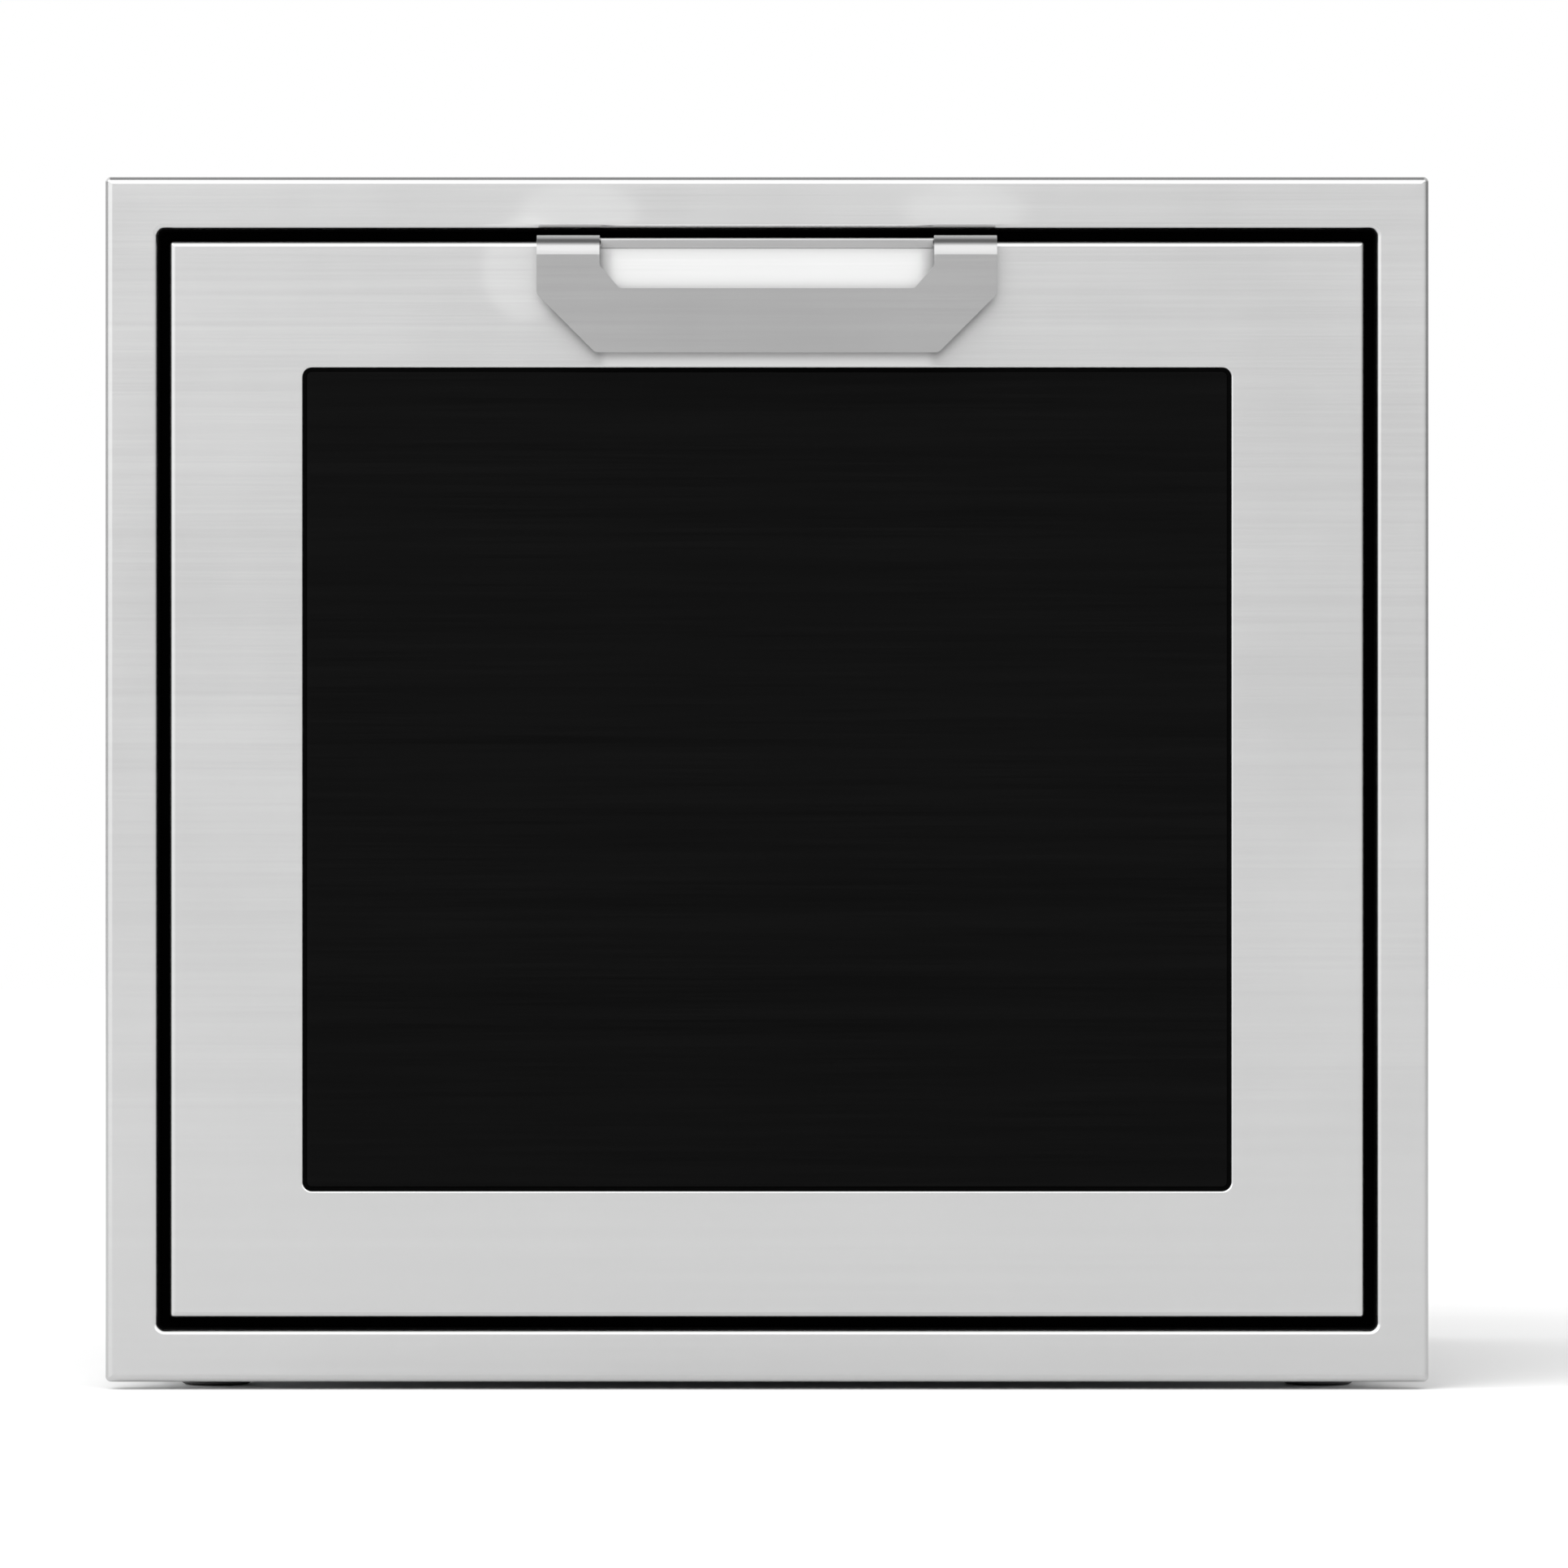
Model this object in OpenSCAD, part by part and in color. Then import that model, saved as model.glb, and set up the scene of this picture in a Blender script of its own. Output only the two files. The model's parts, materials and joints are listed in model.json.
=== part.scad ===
// Built-in trash compactor: a stainless trim frame, a flush drawer on telescopic slides with a lift-out bin,
// and a two-screw press above it that a belt, a gear pair and a chain turn from one motor.
// Millimetres. +X is right and +Z up as seen from the front, and the front faces -Y.
// Most places are given as a depth behind the front face, which front_y turns into Y.

/* [Trim frame] */
// Width of the trim frame
frame_w = 762; // [630:1:920]
// Height of the trim frame
frame_h = 694; // [570:1:840]
// Width of the flange that shows round the opening
flange_w = 30; // [26:0.5:40]
// How far the flange stands off the wall it is set in
flange_depth = 19; // [15:0.5:24]
// How far the flange laps past the cabinet at each side
side_lap = 19; // [15:0.5:22]
// How far the flange laps past the cabinet above and below
end_lap = 22; // [17:0.5:25]
// Corner radius of the opening
opening_r = 4; // [2:0.5:8]

/* [Cabinet] */
// Depth from the front face to the rear edge
cab_depth = 610; // [500:1:740]
// Stainless sheet of the frame, the skin and the cabinet
sheet = 1.5; // [1:0.1:2]
// Thickness of the base pan
base_t = 2; // [1.5:0.1:3]
// Height of the levelling legs, which sets the cabinet's floor
leg_h = 26; // [25:1:40]
// Radius of a leg's pad
leg_r = 20; // [14:1:26]

/* [Drawer front] */
// Shadow gap round the drawer front
gap = 7.2; // [4:0.1:10]
// Thickness of the drawer front
front_t = 26; // [20:0.5:30]
// Steel left at each side of the dark panel
panel_side = 76.7; // [50:0.1:110]
// Steel left above and below the dark panel
panel_end = 73; // [70:0.1:110]
// Corner radius of the dark panel
panel_r = 5; // [2:0.5:12]
// Thickness of the dark panel
panel_t = 3; // [2:0.5:5]

/* [Handle] */
// Width of the handle
handle_w = 263.6; // [200:0.1:320]
// Height of the handle
handle_h = 67.5; // [56:0.1:80]
// How far the handle stands out from the drawer front
handle_out = 38; // [30:0.5:50]
// Thickness of the handle's plate
handle_t = 2; // [1.5:0.1:3]
// Width of each of its two top straps
strap_w = 36; // [25:0.5:50]
// Outer radius of the bend at the top of a strap
bend_r = 12; // [6:0.5:18]
// Height of the finger opening
finger_h = 30.8; // [25:0.1:36]

/* [Press] */
// Diameter of the power screws
screw_d = 22; // [18:0.5:26]
// Thread lead of the power screws
lead = 6.35; // [4:0.05:8]
// How far the ram comes down
stroke = 203.2; // [160:0.1:245]
// Outside depth of an upright channel
upright_w = 78; // [70:1:95]
// Plate thickness of the uprights and the rails
frame_t = 3; // [2.5:0.5:4]
// Height of the crosshead beam
cross_h = 40; // [30:1:50]
// Thickness of the ram platen
platen_t = 6; // [4:0.5:10]
// Clear space between the platen and the bin wall
ram_clear = 9.5; // [5:0.5:15]

/* [Drawer] */
// Height of the telescopic slides
slide_h = 45; // [40:1:55]
// Wall of the bin
bin_wall = 2.5; // [1.5:0.1:4]
// Corner radius of the bin
bin_r = 20; // [10:1:35]

/* [Drive] */
// Distance between the motor and the countershaft
belt_centre = 125; // [115:1:150]
// Pitch radius of the motor pulley
small_pulley_r = 14; // [12:0.5:16]
// Pitch radius of the large pulley
large_pulley_r = 49; // [42:0.5:51]
// Gear module
gear_module = 1.25; // [1:0.05:1.3]
// Teeth of the pinion
pinion_teeth = 18; // [17:1:20]
// Teeth of the large gear, a multiple of 4
gear_teeth = 72; // [60:4:72]
// Outer diameter of the motor
motor_d = 112; // [90:1:114]
// Chain pitch
chain_pitch = 9.525; // [8:0.005:9.525]
// Teeth of every sprocket
sprocket_teeth = 12; // [11:1:12]

/* [Controls] */
// Width of the inner control panel
control_w = 260; // [200:1:300]
// Height of the inner control panel
control_h = 58; // [45:1:70]
// Diameter of the push buttons
button_d = 16; // [12:0.5:20]
// Travel of the push buttons
button_travel = 3; // [2:0.5:4]

/* [Hidden] */
$fn = 48;

// clearances
run_fit = 0.05;                                  // radial, between a journal and its bearing
slide_fit = 0.5;                                 // between sliding pieces that don't touch
cut = 1;                                         // how far a cutting tool runs past what it cuts

// cabinet
front_y = handle_out - (cab_depth + handle_out) / 2;
floor_z = leg_h + base_t;
frame_z = leg_h - end_lap;
cab_top = leg_h + frame_h - 2 * end_lap;
ceiling_z = cab_top - sheet;
cab_x = frame_w / 2 - side_lap;
inner_x = cab_x - sheet;
rear_flange = 15;
back_d = cab_depth - 2 * sheet - 0.5;            // front face of the back panel
fixing_r = 2.5;                                  // screw holes in the side panels
fixing_d = [120, cab_depth - 150];
fixing_z = [170, cab_top - 116];
floor_bolt_r = 3.5;
floor_bolt_x = cab_x - 112;
floor_bolt_d = [110, cab_depth - 160];
leg_x = cab_x - 42;
leg_d = [60, cab_depth - 50];
leg_stem_r = 5;
screw_hole_r = 2.2;                              // clearance holes of the sheet metal screws
back_screw_x = inner_x - rear_flange / 2;
back_screw_z = [for (i = [0:3]) floor_z + 40 + i * (ceiling_z - floor_z - 80) / 3];
inlet_x = inner_x - 110;
inlet_z = floor_z + 90;
inlet_hole = [44, 26];

// opening, gasket and drawer front
open_x = frame_w / 2 - flange_w;
open_z = [frame_z + flange_w, frame_z + frame_h - flange_w];
front_x = open_x - gap;
front_z = [open_z[0] + gap, open_z[1] - gap];
gasket_d = [front_t + 0.5, front_t + 7];
gasket_w = 15.7;
bulkhead_d = [gasket_d[1], gasket_d[1] + 2];
bulkhead_lip = 18;                               // how far the bulkhead reaches in past the opening's edge
window_x = front_x - panel_side;
window_z = [front_z[0] + panel_end, front_z[1] - panel_end];
panel_lap = 14;                                  // how far the dark panel laps behind the skin
liner_t = 1;

// handle
handle_top = front_z[1] + handle_t;
handle_flange = front_t - 4;
lip_h = 6.3;
handle_slope = 33.5;                             // height and width of the cut-off lower corners
finger_slope = 11.5;                             // the same for the finger opening
handle_screw_r = 2;
handle_screw_x = [for (x = [-0.42, -0.15, 0.15, 0.42]) x * handle_w];

// press
shroud_d = cab_depth - 122;
bin_d = [bulkhead_d[1] + 25, shroud_d - 18];
press_d = (bin_d[0] + bin_d[1]) / 2;
screw_x = inner_x - 28.5;
bearing_od = 32;
bearing_id = 15;
bearing_w = 9;
screw_seat_r = bearing_id / 2 + 1;               // where a screw's sprocket is pressed on
press_plate_t = 4;
beam_h = 34.5;
beam_wall = 6;
beam_z = ceiling_z - beam_h;
beam_w = 60;
cross_z = beam_z - 10 - cross_h;
cross_w = 54;
rim_z = cross_z - stroke - 6.8;
platen_z = rim_z + 8;
nut_od = 34;
nut_flange_d = 44;
upright_d = [press_d - upright_w / 2, press_d + upright_w / 2];
upright_tip = screw_x - 18;                      // how near the middle the channel flanges reach

// drawer
rail_x = upright_tip - frame_t;
slide_w = 13;
chassis_x = rail_x - slide_w;
chassis_t = 2;
chassis_z = floor_z + 30;
chassis_side_h = 92;
chassis_d = [front_t, shroud_d - 8];
slide_z = chassis_z + 38;
slide_d = [bulkhead_d[1] + 3, chassis_d[1]];
slide_sheet = 1.5;
bin_x = chassis_x - chassis_t - 8;
bin_z = chassis_z + chassis_t;
bin_lip = 6;
platen_x = bin_x - bin_wall - ram_clear;
platen_d = [bin_d[0] + bin_wall + ram_clear, bin_d[1] - bin_wall - ram_clear];
skirt_in = 6;                                    // how far the skirt is set in from the platen's edge
liner_screw_r = 2;
liner_screws = [for (x = [-0.8, 0, 0.8], z = [20, 180]) [x * chassis_x, chassis_z + z]];

// drive
shaft_d = cab_depth - 62;
gear_centre = gear_module * (pinion_teeth + gear_teeth) / 2;
counter_x = -gear_centre;
motor_x = counter_x - belt_centre;
drive_r = 6;
drive_bearing_od = 28;
drive_bearing_w = 8;
sprocket_z = floor_z + 17;
sprocket_t = 4.3;
sprocket_r = chain_pitch / (2 * sin(180 / sprocket_teeth));
sprocket_tip = chain_pitch * (0.6 + 1 / tan(180 / sprocket_teeth)) / 2;
roller_r = chain_pitch * 0.2667;
link_half = chain_pitch * 0.472;                 // half the height of a chain side plate
link_t = 1.3;
gear_z = floor_z + 32;
gear_face = 10;
bearing_plate_z = floor_z + 48;
plate_t = 4;
pulley_z = floor_z + 57;
pulley_face = 16;
belt_w = 9;
belt_t = 5;
motor_plate_z = floor_z + 82;
motor_z = motor_plate_z + plate_t;
bell_h = 22;
shell_h = 76;
bracket_d = [shaft_d - 52, shaft_d + 52];
bracket_x = [counter_x - 84, 60];
post_r = 6;
tension_out = 25;                                // how far the tensioner pushes the chain out of its line
tension_pin_r = 5;
pressure = 20;                                   // pressure angle of the gears
backlash = 0.12;
rotor_r = 28;
air_gap = 0.8;                                   // between the rotor and the stator
motor_wall = 4;
fan_r = 34;

// controls
control_d = [bulkhead_d[1] + 3, bulkhead_d[1] + 25];
control_z = [ceiling_z - 24.5 - control_h, ceiling_z - 24.5];
control_mid = (control_z[0] + control_z[1]) / 2;
start_x = control_w * 0.22;
stop_x = control_w * 0.36;
key_x = -control_w * 0.27;
key_r = 7;
control_fit = 0.2;                               // round a button or the key switch in the panel

// chain path: left screw, right screw, tensioner and drive sprocket, in x and depth
left_point = [-screw_x, press_d];
right_point = [screw_x, press_d];
drive_point = [0, shaft_d];
run = drive_point - right_point;
tension_point = (right_point + drive_point) / 2 + tension_out * [run[1], -run[0]] / norm(run);
chain_points = [left_point, right_point, tension_point, drive_point];

// ---------- helpers ----------

// A block from its lowest to its highest corner, with the depth measured behind the front face.
module block(x, d, z) {
    translate([x[0], front_y + d[0], z[0]])
        cube([x[1] - x[0], d[1] - d[0], z[1] - z[0]]);
}

// The same piece at the left and at the right.
module both_sides() {
    children();
    mirror([1, 0, 0]) children();
}

// An upright cylinder at an x and a depth.
module post(x, d, r, z) {
    translate([x, front_y + d, z[0]]) cylinder(r = r, h = z[1] - z[0]);
}

// A cylinder that runs back from one depth to another.
module pin_back(x, z, r, d) {
    translate([x, front_y + d[0], z]) rotate([-90, 0, 0]) cylinder(r = r, h = d[1] - d[0]);
}

// A rectangle with round corners, from corner to corner.
module round_rect(x, y, r) {
    union() {
        translate([x[0] + r, y[0]]) square([x[1] - x[0] - 2 * r, y[1] - y[0]]);
        translate([x[0], y[0] + r]) square([x[1] - x[0], y[1] - y[0] - 2 * r]);
        for (cx = [x[0] + r, x[1] - r], cy = [y[0] + r, y[1] - r]) translate([cx, cy]) circle(r);
    }
}

// A flat shape drawn in x and z, given a thickness between two depths.
module upright_plate(d) {
    translate([0, front_y + d[1], 0]) rotate([90, 0, 0]) linear_extrude(d[1] - d[0]) children();
}

// A flat shape drawn in x and depth, given a thickness between two heights.
module flat_plate(z) {
    translate([0, front_y, z[0]]) linear_extrude(z[1] - z[0]) children();
}

// A ring of sheet drawn in x and z round an opening.
module ring_plate(d, out_x, out_z, out_r, in_x, in_z, in_r) {
    upright_plate(d) difference() {
        round_rect([-out_x, out_x], out_z, out_r);
        round_rect([-in_x, in_x], in_z, in_r);
    }
}

// ---------- cabinet ----------

module trim_frame() {
    half = frame_w / 2;
    z = [frame_z, frame_z + frame_h];
    hem = 10;
    color("silver") union() {
        ring_plate([0, sheet], half, z, 3, open_x, open_z, opening_r);
        ring_plate([sheet, flange_depth], half, z, 3, half - sheet, [z[0] + sheet, z[1] - sheet], 1.5);
        ring_plate([flange_depth - sheet, flange_depth], half, z, 3,
            half - hem, [z[0] + hem, z[1] - hem], 1.5);
        ring_plate([sheet, bulkhead_d[0]], open_x + sheet, [open_z[0] - sheet, open_z[1] + sheet],
            opening_r + sheet, open_x, open_z, opening_r);
    }
}

module front_gasket() {
    edge = 0.3;
    color("black") ring_plate(gasket_d, open_x - edge, [open_z[0] + edge, open_z[1] - edge], opening_r,
        open_x - gasket_w, [open_z[0] + gasket_w, open_z[1] - gasket_w], opening_r);
}

module front_bulkhead() {
    color("gainsboro") upright_plate(bulkhead_d) difference() {
        translate([-inner_x, floor_z]) square([2 * inner_x, ceiling_z - floor_z]);
        round_rect([-open_x + bulkhead_lip, open_x - bulkhead_lip],
            [open_z[0] + bulkhead_lip, open_z[1] - bulkhead_lip], opening_r);
    }
}

module side_panel() {
    difference() {
        union() {
            block([inner_x, cab_x], [flange_depth + 1, cab_depth], [leg_h, cab_top]);
            block([inner_x - rear_flange, inner_x], [back_d - sheet, back_d], [floor_z, ceiling_z]);
        }
        for (d = fixing_d, z = fixing_z)
            translate([inner_x - cut, front_y + d, z]) rotate([0, 90, 0])
                cylinder(r = fixing_r, h = sheet + 2 * cut);
        for (z = back_screw_z) pin_back(back_screw_x, z, screw_hole_r, [back_d - sheet - cut, back_d + cut]);
    }
}

module left_side_panel() { color("silver") mirror([1, 0, 0]) side_panel(); }

module right_side_panel() { color("silver") side_panel(); }

module top_panel() {
    color("silver") block([-inner_x, inner_x], [flange_depth + 1, cab_depth], [ceiling_z, cab_top]);
}

module back_panel() {
    slot = [70, 4];
    color("silver") upright_plate([back_d, back_d + sheet]) difference() {
        translate([-inner_x, floor_z]) square([2 * inner_x, ceiling_z - floor_z]);
        // cooling slots behind the motor
        for (column = [-1, 1], row = [0:9])
            translate([motor_x + column * 45 - slot[0] / 2, motor_z + 12 * row]) square(slot);
        translate([inlet_x - inlet_hole[0] / 2, inlet_z - inlet_hole[1] / 2]) square(inlet_hole);
        for (side = [-1, 1], z = back_screw_z) translate([side * back_screw_x, z]) circle(screw_hole_r);
    }
}

module base_pan() {
    color("lightgray") union() {
        difference() {
            block([-inner_x, inner_x], [flange_depth + 1, cab_depth], [leg_h, floor_z]);
            for (side = [-1, 1], d = floor_bolt_d)
                post(side * floor_bolt_x, d, floor_bolt_r, [leg_h - cut, floor_z + cut]);
        }
        // weld stud with a shoulder, on which the tensioner sprocket turns
        post(tension_point[0], tension_point[1], tension_pin_r + 3, [floor_z, sprocket_z - 3]);
        post(tension_point[0], tension_point[1], tension_pin_r, [sprocket_z - 3, sprocket_z + 10]);
    }
}

module levelling_legs() {
    pad_h = 8;
    color("dimgray") for (side = [-1, 1], d = leg_d) union() {
        post(side * leg_x, d, leg_r, [0, pad_h]);
        post(side * leg_x, d, leg_stem_r, [pad_h, leg_h]);
        translate([side * leg_x, front_y + d, pad_h]) cylinder(r = 9.5, h = 6, $fn = 6);
    }
}

module cabinet_screws() {
    color("gray") for (side = [-1, 1], z = back_screw_z) union() {
        pin_back(side * back_screw_x, z, screw_hole_r - 0.2, [back_d - sheet - 6, back_d + sheet]);
        pin_back(side * back_screw_x, z, 2 * screw_hole_r, [back_d + sheet, cab_depth]);
    }
}

// The inlet's face plate, its body through the panel, and the well with three blades in it.
module power_inlet() {
    rim = inlet_hole + [6, 6];
    body = inlet_hole - [1, 1];
    well = body - [10, 8];
    blade = [2, 6];
    color("black") difference() {
        union() {
            inlet_block(rim, [back_d + sheet, cab_depth]);
            inlet_block(body, [back_d - 24, back_d + sheet]);
        }
        difference() {
            inlet_block(well, [back_d - 14, cab_depth + cut]);
            for (i = [-1:1]) translate([9 * i, 0, 0]) inlet_block(blade, [back_d - 15, back_d]);
        }
    }
}

// A block of a given width and height, centred on the power inlet.
module inlet_block(size, d) {
    block([inlet_x - size[0] / 2, inlet_x + size[0] / 2], d, [inlet_z - size[1] / 2, inlet_z + size[1] / 2]);
}

// ---------- press frame ----------

module upright() {
    z = [floor_z + press_plate_t, beam_z];
    notch_z = chassis_z;
    difference() {
        union() {
            block([inner_x - frame_t, inner_x], upright_d, z);
            block([upright_tip, inner_x - frame_t], [upright_d[0], upright_d[0] + frame_t], z);
            block([upright_tip, inner_x - frame_t], [upright_d[1] - frame_t, upright_d[1]], z);
        }
        // the chain passes out through the foot of the rear flange
        block([upright_tip - cut, inner_x - frame_t], [upright_d[1] - frame_t - cut, upright_d[1] + cut],
            [z[0] - cut, notch_z]);
    }
}

module left_upright() { color("slategray") mirror([1, 0, 0]) upright(); }

module right_upright() { color("slategray") upright(); }

module top_beam() {
    d = [press_d - beam_w / 2, press_d + beam_w / 2];
    color("slategray") difference() {
        block([-inner_x, inner_x], d, [beam_z, ceiling_z]);
        block([-inner_x - cut, inner_x + cut], [d[0] + frame_t, d[1] - frame_t],
            [beam_z + beam_wall, ceiling_z - frame_t]);
        for (side = [-1, 1])
            post(side * screw_x, press_d, bearing_od / 2, [beam_z - cut, beam_z + beam_wall + cut]);
    }
}

module press_base_plate() {
    d = [upright_d[0] - 10, upright_d[1] + 10];
    top = floor_z + press_plate_t;
    color("slategray") difference() {
        union() {
            block([-inner_x, inner_x], d, [floor_z, top]);
            for (side = [-1, 1])
                post(side * screw_x, press_d, bearing_od / 2 + 4, [top, top + bearing_w + 1]);
        }
        for (side = [-1, 1]) {
            post(side * screw_x, press_d, bearing_od / 2, [top + 1, top + bearing_w + 2]);
            post(side * screw_x, press_d, bearing_id / 2 + 3, [floor_z - cut, top + 2]);
        }
    }
}

module ball_bearing(x, d, z, od, id, w) {
    translate([x, front_y + d, z]) difference() {
        cylinder(d = od, h = w);
        translate([0, 0, -cut]) cylinder(r = id / 2 + run_fit, h = w + 2 * cut);
    }
}

module screw_bearings() {
    color("lightsteelblue") for (side = [-1, 1]) {
        ball_bearing(side * screw_x, press_d, floor_z + press_plate_t + 1, bearing_od, bearing_id, bearing_w);
        ball_bearing(side * screw_x, press_d, beam_z, bearing_od, bearing_id, bearing_w);
    }
}

module limit_switches() {
    color("crimson") for (z = [cross_z + 5, cross_z - stroke + 5]) {
        block([screw_x - 10, screw_x + 14], [upright_d[1], upright_d[1] + 9], [z, z + 30]);
    }
}

// ---------- drawer slides ----------

module drawer_rail() {
    z = [slide_z - 6, slide_z + slide_h + 6];
    union() {
        block([rail_x, upright_tip], [bulkhead_d[1], shroud_d], z);
        block([upright_tip, inner_x - 8], [bulkhead_d[1], bulkhead_d[1] + frame_t], z);
    }
}

module left_drawer_rail() { color("slategray") mirror([1, 0, 0]) drawer_rail(); }

module right_drawer_rail() { color("slategray") drawer_rail(); }

// The three members of a slide nest in each other: each is a channel, inset from the last.
module slide_channel(web_x, tips, inset) {
    z = [slide_z + inset, slide_z + slide_h - inset];
    block([web_x, web_x + slide_sheet], slide_d, z);
    for (zz = [z[0], z[1] - slide_sheet]) block(tips, slide_d, [zz, zz + slide_sheet]);
}

module slide_outer_members() {
    color("lightgray") both_sides() slide_channel(rail_x - slide_sheet, [rail_x - 9.5, rail_x], 0);
}

module slide_middle() {
    slide_channel(rail_x - 6, [rail_x - 10.5, rail_x - slide_sheet - slide_fit], 3.5);
}

module left_slide_middle() { color("lightgray") mirror([1, 0, 0]) slide_middle(); }

module right_slide_middle() { color("lightgray") slide_middle(); }

module slide_inner_members() {
    color("lightgray") both_sides()
        slide_channel(chassis_x, [chassis_x, rail_x - 6 - slide_fit], 7);
}

// ---------- drawer ----------

module drawer_front_skin() {
    color("silver") difference() {
        upright_plate([0, front_t - liner_t]) round_rect([-front_x, front_x], front_z, 2);
        block([-front_x + sheet, front_x - sheet], [sheet, front_t],
            [front_z[0] + sheet, front_z[1] - sheet]);
        upright_plate([-cut, sheet + cut]) round_rect([-window_x, window_x], window_z, panel_r);
        for (x = handle_screw_x)
            post(x, handle_flange / 2, handle_screw_r, [front_z[1] - 2 * sheet, front_z[1] + cut]);
    }
}

module dark_panel() {
    color([0.07, 0.07, 0.07]) upright_plate([sheet, sheet + panel_t])
        round_rect([-window_x - panel_lap, window_x + panel_lap],
            [window_z[0] - panel_lap, window_z[1] + panel_lap], 2);
}

module drawer_front_liner() {
    edge = 0.5;                                  // how far it is set in from the skin's edge
    rib_w = 30;
    color("gainsboro") difference() {
        union() {
            block([-front_x + edge, front_x - edge], [front_t - liner_t, front_t],
                [front_z[0] + edge, front_z[1] - edge]);
            // stiffening ribs that reach the back of the dark panel
            for (x = [-0.4, 0.4])
                block([x * front_x - rib_w / 2, x * front_x + rib_w / 2],
                    [sheet + panel_t, front_t - liner_t], [window_z[0] + 10, window_z[1] - 10]);
        }
        for (p = liner_screws) pin_back(p[0], p[1], liner_screw_r, [front_t - 5, front_t + cut]);
    }
}

// The handle's front outline, with its cut-off lower corners.
module handle_outline() {
    w = handle_w / 2;
    low = handle_top - handle_h;
    polygon([[-w, handle_top + cut], [-w, low + handle_slope], [-w + handle_slope, low],
        [w - handle_slope, low], [w, low + handle_slope], [w, handle_top + cut]]);
}

module finger_outline() {
    w = handle_w / 2 - strap_w;
    low = handle_top - finger_h;
    polygon([[-w, handle_top + cut], [-w, low + finger_slope + 1.5], [-w + finger_slope, low],
        [w - finger_slope, low], [w, low + finger_slope + 1.5], [w, handle_top + cut]]);
}

module handle() {
    bend_d = bend_r - handle_out;
    bend_z = handle_top - bend_r;
    color("darkgray") difference() {
        union() {
            intersection() {
                union() {
                    block([-handle_w, handle_w], [bend_d, 0], [handle_top - handle_t, handle_top]);
                    block([-handle_w, handle_w], [-handle_out, handle_t - handle_out],
                        [handle_top - handle_h, bend_z]);
                    translate([-handle_w, front_y + bend_d, bend_z]) rotate([0, 90, 0]) difference() {
                        intersection() {
                            cylinder(r = bend_r, h = 2 * handle_w);
                            translate([-bend_r - cut, -bend_r - cut, 0])
                                cube([bend_r + cut, bend_r + cut, 2 * handle_w]);
                        }
                        translate([0, 0, -cut]) cylinder(r = bend_r - handle_t, h = 2 * handle_w + 2 * cut);
                    }
                }
                upright_plate([-handle_out - cut, cut]) difference() {
                    handle_outline();
                    finger_outline();
                }
            }
            // flange that lies on the drawer's top edge, and the lip between the straps
            block([-handle_w / 2, handle_w / 2], [-handle_t, handle_flange],
                [handle_top - handle_t, handle_top]);
            block([-handle_w / 2 + strap_w, handle_w / 2 - strap_w], [-handle_t, 0],
                [handle_top - lip_h, handle_top]);
        }
        for (x = handle_screw_x) {
            post(x, handle_flange / 2, handle_screw_r, [handle_top - 2 * handle_t, handle_top + cut]);
            // countersink
            translate([x, front_y + handle_flange / 2, handle_top - handle_screw_r])
                cylinder(r1 = handle_screw_r, r2 = 2 * handle_screw_r + cut, h = handle_screw_r + cut);
        }
    }
}

module drawer_screws() {
    loose = 0.1;                                 // between a shank and its hole
    head_z = handle_top - handle_screw_r;
    color("gray") {
        for (x = handle_screw_x) union() {
            post(x, handle_flange / 2, handle_screw_r - loose, [front_z[1] - 9, head_z + loose]);
            translate([x, front_y + handle_flange / 2, head_z + loose])
                cylinder(r1 = handle_screw_r - loose, r2 = 2 * handle_screw_r - 4 * loose,
                    h = handle_screw_r - 3 * loose);
        }
        for (p = liner_screws) union() {
            pin_back(p[0], p[1], liner_screw_r - loose, [front_t - 4, front_t + chassis_t]);
            pin_back(p[0], p[1], 2 * liner_screw_r, [front_t + chassis_t, front_t + chassis_t + 2.5]);
        }
    }
}

module drawer_chassis() {
    x = [-chassis_x, chassis_x];
    side_z = [chassis_z, chassis_z + chassis_side_h];
    color("lightgray") difference() {
        union() {
            block(x, chassis_d, [chassis_z, chassis_z + chassis_t]);
            both_sides() block([chassis_x - chassis_t, chassis_x], chassis_d, side_z);
            block(x, [chassis_d[1] - chassis_t, chassis_d[1]], side_z);
            block(x, [front_t, front_t + chassis_t], [chassis_z, chassis_z + 210]);
            // gussets that hold the drawer front square
            both_sides() upright_gusset(chassis_x - chassis_t);
        }
        for (p = liner_screws)
            pin_back(p[0], p[1], liner_screw_r, [front_t - cut, front_t + chassis_t + cut]);
    }
}

module upright_gusset(x) {
    top = chassis_z + 205;
    back = chassis_d[0] + chassis_t;
    translate([x, front_y, 0]) rotate([90, 0, 90]) linear_extrude(chassis_t)
        polygon([[back, chassis_z + chassis_side_h], [back + 90, chassis_z + chassis_side_h], [back, top]]);
}

module bin() {
    color([0.3, 0.31, 0.33]) difference() {
        union() {
            flat_plate([bin_z, rim_z]) round_rect([-bin_x, bin_x], bin_d, bin_r);
            flat_plate([rim_z - 3, rim_z]) round_rect([-bin_x - bin_lip, bin_x + bin_lip],
                [bin_d[0] - bin_lip, bin_d[1] + bin_lip], bin_r + bin_lip);
        }
        flat_plate([bin_z + bin_wall + 0.5, rim_z + cut])
            round_rect([-bin_x + bin_wall, bin_x - bin_wall], [bin_d[0] + bin_wall, bin_d[1] - bin_wall],
                bin_r - bin_wall);
    }
}

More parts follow.
